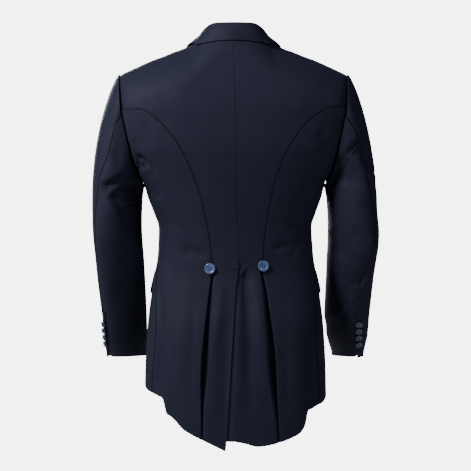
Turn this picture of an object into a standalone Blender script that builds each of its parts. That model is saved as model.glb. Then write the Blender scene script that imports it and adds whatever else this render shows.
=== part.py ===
"""Western blazer: a long tailored riding coat, filled out as if worn, with no wearer.

Modelled in metres with +Z up, +X to the wearer's left and +Y to the back. The origin is the
middle of the neck opening, level with the points where the shoulder seams meet the neck.
Every cloth panel is a thin closed wall. The body of the coat is one smooth shape, worked out
from level rings and a shoulder line, and each panel is the patch of it between two seams.
"""

import math

import bmesh
import bpy
import numpy as np
from mathutils import Matrix, Vector

# Driving sizes in millimetres.
WALL = 1.8  # thickness of a cloth wall
SEAM = 0.3  # distance between two panels at a seam
FOLD = 2.2  # outer radius of a folded edge
SHOULDER_ROUND = 80.0  # how far below the shoulder line the back has turned upright
CHEST_ROUND = 100.0  # the same in front
WAIST = -456.0  # level of the two waist buttons
ARMPIT = -294.0
BACK_SEAM_TOP = {1: -138.5, -1: -134.0}  # where each curved back seam leaves the armhole
LAP = 15.0  # how far each front passes the centre line
UNDERLAP = 32.0  # how far the right tail strip runs on under the left one
PLEAT_UNDER = 20.0  # how far the folded edge of a side panel turns back
PLEAT_RUN = 26.0  # how far a tail strip runs on under the side panel
SHOULDER_END = -62.0  # level of the outer end of the shoulder seam
SLEEVE_JOIN = -330.0  # level where the sleeve head has become a plain tube
CUFF = -643.5
FORE_SEAM = 238.0  # where the inner sleeve seam runs, in degrees round from the back of the arm
LEFT, RIGHT = 1, -1

# Level rings of the coat: half width, depth behind and in front of the side line.
RINGS = {
    "level": [-860, -700, -655, -590, -555, -520, -505, -475, -441, -409, -376, -343, -311, -294,
              -247, -215, -150, -95, -50, 0, 60],
    "half": [187, 185, 184, 180.5, 177.5, 173, 171, 166.5, 160, 157.5, 156, 166, 178, 183,
             215, 235, 255, 262, 264, 264, 264],
    "back": [121, 115, 112, 106, 100, 91, 88, 82, 80, 82, 86, 92, 98, 101,
             110, 115, 116, 107, 93, 78, 60],
    "front": [130, 128, 127, 125, 123, 120, 118, 115, 112, 111, 113, 117, 121, 123,
              127, 126, 114, 99, 82, 62, 40],
}
# The upper part of the coat hangs a little to the left: how far each level is moved across.
LEAN = {"level": [-420, -340, -280, -200, -60, 45], "x": [0, 1.5, 2.5, 3.8, 4, 3.5]}
# The shoulder line, seen from behind; inside the neck it goes on up to round the panel's top.
SHOULDER = {
    "out": [0, 40, 65, 80, 99, 122, 142, 167, 203, 232, 275],
    "level": [60, 37, 15, 1, -8.6, -17, -25.2, -34.4, -50.6, -64.4, -93],
}
NECK = {"out": [0, 25, 40, 60, 72, 80], "level": [11, 10, 8, 5, 2, 1]}
CENTRE_SEAM = {"level": [-456, -400, -300, -142, -82, 11], "x": [-7, -6, -5, -4.5, -3, 1]}
VENT = {"level": [-830, -775, -706, -637, -568, -498, -456], "x": [20, 16, 12, 8, 3.5, -1, -6]}
ARMHOLE_BACK = {
    "level": [-294, -291, -284, -270, -247, -217, -160, -136, -99, -60],
    "out": [182.8, 184.3, 187.5, 194, 202.5, 210, 222.3, 226.8, 229.5, 232],
}
ARMHOLE_FRONT = {
    "level": [-294, -291, -280, -262, -235, -200, -165, -130, -95, -60],
    "out": [182.8, 184.2, 187.5, 191, 195, 200, 206, 214, 224, 232],
}
# The curved back seams, from the armhole down to the waist buttons.
BACK_SEAM = {
    LEFT: {"out": [195, 186, 174, 161, 136, 110.5, 91.5, 77, 71, 63.6, 57.6, 52.4, 48.5, 47.6, 48],
           "level": [-138.5, -139.7, -144.2, -152.5, -175, -209, -245, -283, -301, -328, -361, -390,
                     -421, -443, -456]},
    RIGHT: {"out": [204, 196, 185, 165.5, 142.5, 127.5, 112, 100.3, 90.3, 81.8, 77.2, 68.2, 62.4,
                    57.3, 55.7, 55],
            "level": [-134, -135.1, -138.8, -151, -171, -189, -214, -236, -259, -284, -301, -343,
                      -374, -408, -434, -456]},
}
# The folded pleat edge of each side panel below the waist.
PLEAT = {
    LEFT: {"level": [-850, -792, -746, -700, -645, -595, -524, -470, -456],
           "out": [68, 68, 68, 69, 68, 63.5, 55, 48.5, 48]},
    RIGHT: {"level": [-850, -794, -720, -665, -610, -558, -506, -465, -456],
            "out": [92, 88.5, 84, 82, 78, 71, 63, 55.5, 55]},
}
# How wide the pleat stands open beside that edge.
PLEAT_OPEN = {"level": [-850, -740, -700, -650, -600, -540, -490, -456],
              "gap": [1, 2, 7, 11, 9, 5, 2, 1]}
HEM_BACK = {
    LEFT: {"out": [0, 19, 45, 78.5, 94.5, 106.5, 120.5, 130.5, 139, 142, 145, 155.5, 170.5, 181, 188],
           "level": [-829, -820.5, -808, -792.5, -784, -776, -760.5, -752, -745, -733, -721, -713,
                     -707, -701, -692]},
    RIGHT: {"out": [0, 19, 45, 61, 94, 114, 130.5, 136.5, 140, 142, 144.5, 154, 166, 178, 184, 188],
            "level": [-801, -805, -811, -809.5, -801.5, -794, -784.5, -776.5, -769, -761, -746, -739,
                      -732, -727, -719, -710]},
}
HEM_FRONT = {
    "x": [-20, -15, 0, 15, 30, 50, 70, 90, 115, 145, 190],
    "level": [-486, -492, -514, -541, -574, -620, -660, -688, -702, -703, -700],
}
# The front edge above the top button: the line that the lapel rolls back along.
OPENING = {"level": [-860, -330, -316, -300, -250, -50, -25, 0, 10],
           "x": [-15, -15, -10, -2, 10, 58, 71, 79, 80]}
SIDE_SEAM = {"level": [-860, -700, -595, -530, -466, -380, -294],
             "degrees": [63, 63, 60, 66, 74, 84, 90]}

# Sleeve rings from the join to the cuff: outer and inner edge, middle and half depth, and how
# many degrees the hindmost point lies round to the outside, where the elbow points.
SLEEVE = {
    "level": [-660, -640, -605, -572, -523, -474, -441, -409, -376, -343, -330, -311],
    "outer": [266, 267.5, 272, 274, 278.5, 282.7, 285, 287.6, 289.5, 290, 290, 290],
    "inner": [186.4, 186.1, 185.2, 185, 185.6, 187, 188.3, 189.9, 190.7, 189.5, 188.5, 187],
    "middle": [-122, -112, -92, -74, -48, -24, -10, 0, 4, 4.5, 4, 3],
    "twist": [26, 26, 26, 26, 26, 26, 26, 25, 21, 14, 12, 8],
    "depth": [49, 50, 52, 54, 57, 60, 62, 64, 67, 70, 71, 72],
}
# The right sleeve bends a little more at the elbow and is drawn in at the cuff.
SLEEVE_RIGHT = {
    "level": [-640, -634, -613, -596, -577, -555, -480, -426, -396, -345],
    "outer": [0, 0, 1, 2, 2, 1, 0, 3, 3.5, 0],
    "inner": [17, 15.7, 9.7, 5.3, 4, 0, 0, -1, -1, 0],
}
# Where the hind seam of each sleeve is seen from behind.
HIND = {
    LEFT: {"level": [-660, -600, -540, -480, -420, -376, -309, -285, -261, -229, -202, -168, -152],
           "x": [265, 269.5, 272.6, 278.8, 282.5, 283.5, 276.5, 273.3, 267, 252.5, 244.5, 236.5, 226.5]},
    RIGHT: {"level": [-660, -626, -560, -535, -496, -467, -430, -405, -376, -342, -314, -280, -247,
                      -218, -193, -172, -154],
            "x": [257, 257.4, 257.6, 255.3, 252.7, 263.4, 277.5, 281, 282, 280, 276, 270.3, 265, 259.4, 251,
                  240, 226.8]},
}
# The folded collar, from the centre back (0) to its front end (1): the middle of the wall where
# the stand is sewn on, the middle of the fold, and the outer face at the fall's edge.
COLLAR = {
    "along": [0, 0.14, 0.27, 0.4, 0.5, 0.6, 0.72, 0.85, 1],
    "base_x": [0, 25, 40, 58, 71, 77.5, 73, 68, 55.5],
    "base_y": [68, 62, 56.5, 43.5, 26, 0, -33, -50, -74],
    "base_z": [11.1, 10.1, 8.3, 5.9, 3.7, 2.5, -6.5, -22.5, -44],
    "crest_x": [0, 25, 43, 57, 64.5, 70, 72, 66, 56],
    "crest_y": [64, 60, 50, 35, 20, 0, -26, -48, -75.5],
    "crest_z": [36, 36, 35, 27.5, 20.5, 13.5, 4, -13, -40],
    "edge_x": [0, 27.6, 46, 63, 74.5, 85.5, 96, 101, 93],
    "edge_y": [78, 73, 67.4, 57.3, 49.5, 24.4, -8.5, -38.6, -81],
    "edge_z": [1.2, 0.5, -1.4, -3.4, -5.4, 0.6, -3.2, -21.2, -65],
}
# The lapel, from the gorge (0) to the top button (1): its roll line and its free edge.
LAPEL = {
    "along": [0, 0.06, 0.2, 0.45, 0.75, 1],
    "roll_x": [57, 54.5, 46.5, 31, 15, 5],
    "roll_level": [-55, -66, -98, -164, -232, -274],
    "edge_x": [92, 112, 110, 92, 50, 7],
    "edge_level": [-83, -97, -124, -176, -238, -276],
}
FLAP = {"degrees": [97, 148], "top": -464, "bottom": -510, "corner": 9}
WAIST_BUTTONS = {LEFT: (51, -458), RIGHT: (55.5, -452.5)}  # out, level
FRONT_BUTTONS = [-332, -400, -468]
# Turned outlines of the buttons: radius and height above the cloth.
BIG_BUTTON = {"radius": [0, 2.2, 2.2, 9.4, 11, 11, 10.2, 8.8, 7.6, 0],
              "height": [0.3, 0.3, 1.7, 1.7, 2.8, 4.2, 5.0, 5.0, 4.1, 3.9]}
SMALL_BUTTON = {"radius": [0, 1.6, 1.6, 5.5, 6.7, 6.7, 6.1, 5.3, 4.6, 0],
                "height": [0.3, 0.3, 1.2, 1.2, 2.0, 3.1, 3.7, 3.7, 3.0, 2.9]}
VENT_TONGUE = {LEFT: {"top": -548, "width": 11, "cut": 20},
               RIGHT: {"top": -520, "width": 11, "cut": 8}}
SLEEVE_BUTTONS = {"first": -573, "pitch": 14, "count": 4}


def read(table, column, at, key="level", level_start=False):
    """A smooth curve through one column of a table, held straight past its ends."""
    xs, ys = np.array(table[key], float), np.array(table[column], float)
    if xs[0] > xs[-1]:
        xs, ys = xs[::-1], ys[::-1]
    step = np.diff(ys) / np.diff(xs)
    slope = np.concatenate([[step[0] * (not level_start)], (step[1:] + step[:-1]) / 2, [step[-1]]])
    flat = np.concatenate([[False], step[1:] * step[:-1] <= 0, [False]])
    slope[flat] = 0
    at = np.asarray(at, float)
    i = np.clip(np.searchsorted(xs, at) - 1, 0, len(xs) - 2)
    h = xs[i + 1] - xs[i]
    t = np.clip((at - xs[i]) / h, 0, 1)
    return (ys[i] * (1 + 2 * t) * (1 - t) ** 2 + ys[i + 1] * t * t * (3 - 2 * t)
            + slope[i] * h * t * (1 - t) ** 2 - slope[i + 1] * h * t * t * (1 - t))


def ease(t):
    """0 before 0, 1 after 1 and a soft S between."""
    t = np.clip(t, 0, 1)
    return t * t * (3 - 2 * t)


def roundness(level):
    """The power of the ring's back half: squarer across the shoulder blades."""
    return 2.3 + 0.35 * ease((level + 420) / 200) + 0.15 * ease((-500 - level) / 100)


def ring(degrees, level):
    """A point of a level ring; 0 is the centre back, 90 the side and 180 the centre front."""
    a = np.radians(degrees)
    s, c = np.sin(a), np.cos(a)
    power = np.where(c > 0, roundness(level), 2.15)
    half = read(RINGS, "half", level)
    depth = np.where(c > 0, read(RINGS, "back", level), read(RINGS, "front", level))
    x = half * np.sign(s) * np.abs(s) ** (2 / power)
    y = depth * np.sign(c) * np.abs(c) ** (2 / power)
    reach = np.where(c > 0, SHOULDER_ROUND, CHEST_ROUND)
    drop = np.clip((read(SHOULDER, "level", np.abs(x), "out") - level) / reach, 0, 1)
    return x, y * np.sqrt(1 - (1 - drop) ** 2)


def degrees_at(x, level, front=False):
    """The angle at which a ring is x from the centre line."""
    power = np.where(front, 2.15, roundness(level))
    share = np.clip(np.abs(x) / read(RINGS, "half", level), 0, 1) ** (power / 2)
    a = np.degrees(np.arcsin(share)) * np.sign(x)
    return np.where(front, 180 - a, a)


def seam_gap(seam, level):
    """Half of the gap at a curved seam, measured along the level."""
    slope = read(seam, "out", level + 0.5) - read(seam, "out", level - 0.5)
    return SEAM / 2 * np.sqrt(1 + slope ** 2)


def speed(degrees, level):
    """Millimetres along a ring for each degree."""
    ends = [np.stack([*ring(degrees + d, level)], -1) for d in (-0.5, 0.5)]
    return np.linalg.norm(ends[1] - ends[0], axis=-1)


def body(side, degrees, level, out=0.0):
    """A point of the coat's surface on one side, moved out along the surface's own normal."""
    level = level + 0 * degrees
    spot = lambda d, z: np.stack([*ring(d, z), z], -1)
    n = np.cross(spot(degrees + 0.2, level) - spot(degrees - 0.2, level),
                 spot(degrees, level - 0.5) - spot(degrees, level + 0.5))
    p = spot(degrees, level)
    n = n * np.sign((n * p * [1, 1, 0]).sum(-1, keepdims=True))
    n = n / np.linalg.norm(n, axis=-1, keepdims=True)
    return (p + n * np.asarray(out + 0 * degrees)[..., None]) * [side, 1, 1]


def upright(side, x, share, front):
    """A point of the upper body: share 0 on the neck or shoulder line, 1 at BACK_SEAM_TOP."""
    reach, sign = (CHEST_ROUND, -1) if front else (SHOULDER_ROUND, 1)
    out = np.abs(x)
    top = read(SHOULDER, "level", out, "out")
    start = top if front else np.where(out < 80, read(NECK, "level", out, "out"), top)

    def turn(drop):
        bent = reach * np.arccos(np.clip(1 - drop / reach, -1, 1))
        return np.where(drop < reach, bent, reach * math.pi / 2 + drop - reach)

    first = turn(np.maximum(top - start, 0)) + SEAM / 2
    along = first + (turn(top - BACK_SEAM_TOP[side]) - first) * share
    bend = np.minimum(along / reach, math.pi / 2)
    level = top - reach * (1 - np.cos(bend)) - np.maximum(along - reach * math.pi / 2, 0)
    power = 2.15 if front else roundness(level)
    depth = read(RINGS, "front" if front else "back", level)
    y = depth * (1 - np.clip(out / read(RINGS, "half", level), 0, 1) ** power) ** (1 / power)
    return np.stack([side * x, sign * y * np.sin(bend), level], -1)


def leaned(p):
    """Points moved across with the lean of the coat's upper part."""
    return p + read(LEAN, "x", p[..., 2])[..., None] * [1, 0, 0]


def patch(place, shares, rows, way):
    """A grid of place(share, row) with its normals, which point to way at the last column."""
    f, v = np.meshgrid(np.array(shares, float), np.array(rows, float))
    step = 0.002
    n = np.cross(place(f + step, v) - place(f - step, v),
                 place(f, v + step) - place(f, v - step))
    n = n / np.linalg.norm(n, axis=-1, keepdims=True)
    p, middle = place(f, v), len(rows) // 2
    return p, n * np.sign(np.dot(n[middle, -1], way(p[middle, -1])))


def bridge(above, below, first=0, last=None):
    """The strip between the last row of one patch and some columns of the next one's first."""
    return tuple(np.stack([a[-1], b[0][first:last]]) for a, b in zip(above, below))


def outward(p):
    """Away from the coat's upright middle line."""
    return np.array([p[0], p[1], 0])


def shares(*parts):
    """Marks from 0 to 1; each part gives where it ends and its number of steps."""
    marks = [0.0]
    for end, steps in parts:
        start = marks[-1]
        marks += [start + (end - start) * (k + 1) / steps for k in range(steps)]
    return marks


def add(name, mesh, colour, rough=0.75):
    """The object of a mesh, in the coat's collection, with a material of its own."""
    thing = bpy.data.objects.new(name, mesh)
    coat.objects.link(thing)
    stuff = bpy.data.materials.new(name)
    stuff.use_nodes = True
    bsdf = stuff.node_tree.nodes["Principled BSDF"]
    bsdf.inputs["Base Color"].default_value = (*colour, 1)
    bsdf.inputs["Roughness"].default_value = rough
    bsdf.inputs["Metallic"].default_value = 0
    mesh.materials.append(stuff)
    mesh.shade_smooth()
    mesh.set_sharp_from_angle(angle=math.radians(40))
    return thing


def shell(name, patches, wall=WALL):
    """One closed cloth wall inside the given patches, which share the points where they meet."""
    ids, outer, inner, tris = {}, [], [], []
    for points, normal in patches:
        points = leaned(points)
        at = np.zeros(points.shape[:2], int)
        for spot in np.ndindex(*at.shape):
            key = tuple(np.round(points[spot], 2))
            if key not in ids:
                ids[key] = len(outer)
                outer.append(points[spot])
                inner.append(points[spot] - wall * normal[spot])
            at[spot] = ids[key]
        for i, j in np.ndindex(at.shape[0] - 1, at.shape[1] - 1):
            corners = [(i, j), (i, j + 1), (i + 1, j + 1), (i + 1, j)]
            p = [points[c] for c in corners]
            facing = np.dot(np.cross(p[2] - p[0], p[3] - p[1]), sum(normal[c] for c in corners))
            quad = [at[c] for c in corners][:: 1 if facing > 0 else -1]
            quad = [q for k, q in enumerate(quad) if q != quad[k - 1]]
            tris += [(quad[0], quad[k], quad[k + 1]) for k in range(1, len(quad) - 1)]
    count = len(outer)
    edges = {(t[k], t[(k + 1) % 3]) for t in tris for k in range(3)}
    bm = bmesh.new()
    verts = [bm.verts.new(Vector(p) * 0.001) for p in outer + inner]
    for a, b, c in tris:
        bm.faces.new([verts[a], verts[b], verts[c]])
        bm.faces.new([verts[c + count], verts[b + count], verts[a + count]])
    for a, b in sorted(edges):
        if (b, a) not in edges:
            bm.faces.new([verts[b], verts[a], verts[a + count]])
            bm.faces.new([verts[b], verts[a + count], verts[b + count]])
    mesh = bpy.data.meshes.new(name)
    bm.to_mesh(mesh)
    bm.free()
    return add(name, mesh, NAVY)


for thing in list(bpy.data.objects):
    bpy.data.objects.remove(thing)
coat = bpy.data.collections.new("western_blazer")
cutters = bpy.data.collections.new("cutters")
bpy.context.scene.collection.children.link(coat)
bpy.context.scene.collection.children.link(cutters)
NAVY = (0.012, 0.016, 0.035)
BUTTON = (0.03, 0.06, 0.18)
LEVELS = [-146, -154, -168, -188, -210, -232, -255, -274, -288,
          ARMPIT, -316, -343, -376, -409, -434, WAIST]
SKIRT_TOP = WAIST - 4
SKIRT = np.linspace(0, 1, 8)


def back_edge(side, level):
    """The centre seam's distance out on one side, clear of it by half the seam's gap."""
    return side * read(CENTRE_SEAM, "x", level) + SEAM / 2


def sink(side, x, level):
    """How far a tail strip lies inside the coat's surface: in the pleat, and under the lap."""
    below = ease((-442 - level) / 16)
    edge, gap = read(PLEAT[side], "out", level), read(PLEAT_OPEN, "gap", level)
    deep = (7.0 + 0.6 * gap) * below * ease((x - edge + gap + 7) / 10)
    if side == RIGHT:
        deep = deep + 2.7 * below * ease((read(VENT, "x", level) * -1 - x + 14) / 12)
    return deep


def arm_degrees(level, front):
    """Where a ring meets the armhole."""
    table = ARMHOLE_FRONT if front else ARMHOLE_BACK
    return degrees_at(read(table, "out", level), level, front)


def under_arm(level, front):
    """The outer end of a side or front panel's row: the armhole, and below it the side seam."""
    clear = SEAM / 2 * (1 if front else -1)
    end = np.where(level >= ARMPIT, arm_degrees(np.maximum(level, ARMPIT), front),
                   read(SIDE_SEAM, "degrees", level))
    return end + clear / speed(end, level)


def hem(side, degrees, x, front=False):
    """The level of the hem."""
    back = read(HEM_BACK[side], "level", np.abs(x) * np.where(x < 0, 0, 1), "out")
    if not front:
        return back
    end = read(HEM_BACK[side], "level", 188, "out")
    plain = read(HEM_FRONT, "level", x, "x") + (end + 702) * ease((140 - degrees) / 45)
    return plain + (back - plain) * ease((100 - degrees) / 12)


def lay_back(side, tag):
    """The centre back panel: shoulders, the part inside the curved seam, and the tail strip."""
    seam = BACK_SEAM[side]
    join = BACK_SEAM_TOP[side]
    corner, arm = seam["out"][0] - seam_gap(seam, join), read(ARMHOLE_BACK, "out", join) - SEAM / 2
    start = back_edge(side, join)
    split = (corner - start) / (arm - start)

    def upper(f, v):
        x = start + (arm - start) * f
        for _ in range(3):
            level = upright(side, x, v, False)[..., 2]
            x0 = back_edge(side, level)
            x = x0 + (read(ARMHOLE_BACK, "out", level) - SEAM / 2 - x0) * f
        return upright(side, x, v, False)

    def middle(f, level):
        x0 = back_edge(side, level)
        x = x0 + (read(seam, "out", level) - seam_gap(seam, level) - x0) * f
        return body(side, degrees_at(x, level), level, -sink(side, x, level))

    def tail(f, v):
        level = SKIRT_TOP - 340 * v
        for _ in range(4):
            lap, edge = side * read(VENT, "x", level), read(PLEAT[side], "out", level)
            near, far = lap + SEAM / 2, lap - UNDERLAP
            x = np.where(f < 0, far + (near - far) * (f + 1),
                         np.where(f <= 1, near + (edge - near) * f, edge + PLEAT_RUN * (f - 1)))
            level = SKIRT_TOP + (hem(side, 0, x) - SKIRT_TOP) * v
        return body(side, degrees_at(x, level), level, -sink(side, x, level))

    across = 6
    top = patch(upper, shares((split, across), (1, 2)), np.linspace(0, 1, 8), outward)
    mid = patch(middle, np.linspace(0, 1, across + 1), [join, join - 3, *LEVELS], outward)
    main = list(np.linspace(0, 0.72, across - 3)) + [0.8, 0.87, 0.94, 1]
    lap = [-1, -0.6, -0.2] if side == RIGHT else []
    low = patch(tail, lap + main + [1.15, 1.5, 2], SKIRT, outward)
    waist = bridge(mid, low, len(lap), len(lap) + across + 1)
    shell(f"back_{tag}", [top, mid, waist, low])


def lay_side(side, tag):
    """The side panel from the armhole to the hem, its pleat edge folded back inside."""
    seam = BACK_SEAM[side]

    def middle(f, level):
        d0 = degrees_at(read(seam, "out", level) + seam_gap(seam, level), level)
        return body(side, d0 + (under_arm(level, False) - d0) * f, level)

    def skirt(f, v):
        level = SKIRT_TOP - 280 * v
        for _ in range(4):
            edge = read(PLEAT[side], "out", level) + FOLD
            d0, d1 = degrees_at(edge, level), under_arm(level, False)
            turn = np.clip(-f, 0, 1) * math.pi
            x = edge - FOLD * np.sin(turn) + PLEAT_UNDER * np.maximum(-f - 1, 0)
            d = np.where(f < 0, degrees_at(x, level), d0 + (d1 - d0) * f)
            level = SKIRT_TOP + (hem(side, d, ring(d, level)[0]) - SKIRT_TOP) * v
        return body(side, d, level, -FOLD * (1 - np.cos(turn)))

    main = np.linspace(0, 1, 9)
    join = BACK_SEAM_TOP[side]
    mid = patch(middle, main, [join - SEAM, join - 3, *LEVELS], outward)
    fold = [-2, -1.5, -1, -0.75, -0.5, -0.25]
    low = patch(skirt, fold + list(main), SKIRT, outward)
    shell(f"side_back_{tag}", [mid, bridge(mid, low, len(fold)), low])


def front_sink(side, x, level):
    """The right front lies under the left one where they lap."""
    if side == LEFT:
        return 0 * x
    return 2.9 * ease((LAP + 16 - x) / 12) * ease((-262 - level) / 20)


def lay_front(side, tag):
    """The front from the shoulder to the rounded hem, with its edge along the centre front."""

    def upper(f, v):
        x = 20 + 200 * f
        for _ in range(4):
            level = upright(side, x, v, True)[..., 2]
            x0 = read(OPENING, "x", level)
            x = x0 + (read(ARMHOLE_FRONT, "out", level) - SEAM / 2 - x0) * f
        return upright(side, x, v, True)

    def middle(f, level):
        d0, d1 = degrees_at(read(OPENING, "x", level), level, True), under_arm(level, True)
        d = d0 + (d1 - d0) * f
        return body(side, d, level, -front_sink(side, ring(d, level)[0], level))

    def skirt(f, v):
        level = SKIRT_TOP - 200 * v
        for _ in range(5):
            d0, d1 = degrees_at(-LAP, level, True), under_arm(level, True)
            d = d0 + (d1 - d0) * f
            x = ring(d, level)[0]
            level = SKIRT_TOP + (hem(side, d, x, True) - SKIRT_TOP) * v
        return body(side, d, level, -front_sink(side, x, level))

    across = shares((0.2, 4), (1, 6))
    top = patch(upper, across, np.linspace(0, 1, 8), outward)
    levels = sorted([BACK_SEAM_TOP[side] - 3, *LEVELS, -302, -322], reverse=True)
    mid = patch(middle, across, levels, outward)
    low = patch(skirt, across, SKIRT, outward)
    shell(f"front_{tag}", [top, bridge(top, mid), mid, bridge(mid, low), low])


for side, tag in ((LEFT, "left"), (RIGHT, "right")):
    lay_back(side, tag)
    lay_side(side, tag)
    lay_front(side, tag)


def sleeve_end(side, turn, level):
    """A point of the plain tube: turn 0 is its back, 90 its outer side and -90 its inner side."""
    outer, inner = read(SLEEVE, "outer", level), read(SLEEVE, "inner", level)
    if side == RIGHT:
        outer = outer + read(SLEEVE_RIGHT, "outer", level)
        inner = inner + read(SLEEVE_RIGHT, "inner", level)
    a = np.radians(turn)
    x = (outer + inner) / 2 + (outer - inner) / 2 * np.sin(a)
    y = read(SLEEVE, "middle", level) + read(SLEEVE, "depth", level) * np.cos(
        a - np.radians(read(SLEEVE, "twist", level)))
    return np.stack([x, y, level + 0 * x], -1)


def sleeve_head(side, turn, share):
    """From the armhole at share 0 out over the shoulder and down to the plain tube at 1."""
    a = np.radians(turn)
    level = ARMPIT + 1.2 + (SHOULDER_END - ARMPIT - 1.2) * (1 + np.sin(a)) / 2
    front = np.cos(a) < 0
    x = read(ARMHOLE_BACK, "out", level) * ~front + read(ARMHOLE_FRONT, "out", level) * front
    edge = np.stack([*ring(degrees_at(x, level, front), level), level], -1)
    high = (1 + np.sin(a)) / 2
    start = edge + np.stack([0.9 + 0.4 * high, 1.2 * np.cos(a), 0.8 * high ** 3], -1)
    way = np.stack([0.25 + 0.5 * high, 0.2 * np.cos(a), 0.25 * high - 0.95 + 0.1 * high], -1)
    end = sleeve_end(side, turn, np.full_like(turn, SLEEVE_JOIN))
    lean = (10 + 9 * high)[..., None] * way
    rise = np.stack([0 * a, 0 * a, 10 + 135 * high ** 1.5], -1)
    t = share[..., None]
    return (start * (1 - t) ** 3 + (start + lean) * 3 * t * (1 - t) ** 2
            + (end + rise) * 3 * t * t * (1 - t) + end * t ** 3)


def sleeve(side, turn, down):
    """down runs 0 to 1 over the head and 1 to 2 from the join to the cuff."""
    head = sleeve_head(side, turn, np.clip(down, 0, 1))
    level = SLEEVE_JOIN + (CUFF - SLEEVE_JOIN) * np.clip(down - 1, -0.05, 1.05)
    return np.where(down[..., None] <= 1, head, sleeve_end(side, turn, level))


def hind(side, down):
    """The turn of the hind seam, found where the sleeve's back is as far out as the seam."""
    low, high = 0 * down, 80 + 0 * down
    for _ in range(24):
        mid = (low + high) / 2
        p = sleeve(side, mid, down)
        beyond = p[..., 0] > read(HIND[side], "x", p[..., 2])
        low, high = np.where(beyond, low, mid), np.where(beyond, mid, high)
    return mid


def raised(side, turn, down, out):
    """A sleeve point moved out along the tube's own normal."""
    n = np.cross(sleeve(side, turn + 1, down) - sleeve(side, turn - 1, down),
                 sleeve(side, turn, down + 0.004) - sleeve(side, turn, down - 0.004))
    n = n / np.linalg.norm(n, axis=-1, keepdims=True)
    n = n * np.sign((n * np.stack([np.sin(np.radians(turn)), np.cos(np.radians(turn)),
                                   0 * turn], -1)).sum(-1, keepdims=True))
    return (sleeve(side, turn, down) + n * np.asarray(out)[..., None]) * [side, 1, 1]


def tongue(side, down):
    """How much of the cuff's button tongue there is at this height."""
    level = SLEEVE_JOIN + (CUFF - SLEEVE_JOIN) * (down - 1)
    return ease((VENT_TONGUE[side]["top"] + 14 - level) / 12) * (down > 1)


def lay_sleeve(side, tag):
    """The top sleeve with its button tongue over the under sleeve, and the under sleeve."""
    clear = SEAM / 55 * 57.3
    away = lambda p: np.array([p[0] - side * 236, p[1] - read(SLEEVE, "middle", p[2]), 0])

    def top(f, down):
        h = hind(side, down)
        turn = h + clear + (FORE_SEAM - h - 2 * clear) * f
        lift = 2.3 * ease((7 - (turn - h) * 0.96) / 5.5) * tongue(side, down)
        return raised(side, turn, down, lift)

    def flap(f, down):
        turn = hind(side, down) + clear - f * VENT_TONGUE[side]["width"] * 1.04
        return raised(side, turn, down, 2.3 * tongue(side, down))

    def under(f, down):
        start = 1 + (VENT_TONGUE[side]["top"] - SLEEVE_JOIN) / (CUFF - SLEEVE_JOIN)
        corner = np.clip(1 - (1 - f) * 5.5, 0, 1) ** 2 * VENT_TONGUE[side]["cut"] / 310
        down = down - corner * np.clip((down - start) / (2 - start), 0, 1)
        h = hind(side, down)
        turn = FORE_SEAM - 360 + clear + (h - 2 * clear - FORE_SEAM + 360) * f
        return raised(side, turn, down, 0 * turn)

    start = 1 + (VENT_TONGUE[side]["top"] - SLEEVE_JOIN) / (CUFF - SLEEVE_JOIN)
    downs = (list(np.linspace(0, 1, 8)) + [1.18, 1.31, 1.42, 1.52, start - 0.03, start]
             + list(np.linspace(start, 2, 5))[1:])
    near = [0, 0.012, 0.035]
    shell(f"top_sleeve_{tag}", [
        patch(top, near + list(np.linspace(0.1, 1, 11)), downs, away),
        patch(flap, [1, 0.5, 0], downs[-5:], away),
    ])
    shell(f"under_sleeve_{tag}", [patch(under, np.linspace(0, 1, 10), downs, away)])


for side, tag in ((LEFT, "left"), (RIGHT, "right")):
    lay_sleeve(side, tag)


def collar(f, along):
    """The folded collar: f 0 at the neck seam, 1 to 2 over the fold and 3 at the free edge."""
    out = np.abs(along)
    mirror = np.stack([np.sign(along) + (along == 0), 1 + 0 * out, 1 + 0 * out], -1)
    base, crest, edge = (np.stack([read(COLLAR, f"{part}_{axis}", out, "along", axis != "x")
                                   for axis in "xyz"], -1) for part in ("base", "crest", "edge"))
    away = crest * [1, 1, 0] + np.array([0, 8, 0])
    away = away / np.linalg.norm(away, axis=-1, keepdims=True)
    bend = (np.clip(f - 1, 0, 1) * math.pi)[..., None]
    fold = crest + FOLD * (np.array([0, 0, 1]) * np.sin(bend) - away * np.cos(bend))
    neck = base - away * WALL / 2
    stand, fall = np.clip(f, 0, 1)[..., None], np.clip(f - 2, 0, 1)[..., None]
    over = 2.5 * np.sin(fall * math.pi) * (away + np.array([0, 0, 0.4]))
    p = np.where(f[..., None] <= 1, neck + (fold - neck) * stand, fold + (edge - fold) * fall + over)
    return p * mirror


shell("collar", [patch(collar, [0, 0.5, 1, 1.25, 1.5, 1.75, 2, 2.33, 2.66, 3],
                       np.linspace(-1, 1, 27), outward)])


def lapel(side):
    """A turned-back lapel on the front: f 0 at the roll line, 1 at its free edge."""
    def place(f, along):
        at = lambda name: read(LAPEL, name, along, "along")
        x = at("roll_x") + (at("edge_x") - at("roll_x")) * f
        level = at("roll_level") + (at("edge_level") - at("roll_level")) * f
        out = 2.3 + 3.5 * np.sin(math.pi * np.clip(f, 0, 1)) * (1 - 0.7 * along)
        return body(side, degrees_at(x, level, True), level, out)
    return place


def pocket_flap(side):
    """A flap that hangs over the hip pocket, rounded at its two lower corners."""
    def place(f, v):
        first, last = FLAP["degrees"]
        end = np.minimum(f, 1 - f) * 150
        bottom = FLAP["bottom"] + FLAP["corner"] * (1 - np.clip(end / FLAP["corner"], 0, 1)) ** 2
        level = FLAP["top"] + (bottom - FLAP["top"]) * v
        return body(side, first + (last - first) * f, level, 2.7 + 2.8 * v)
    return place


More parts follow.
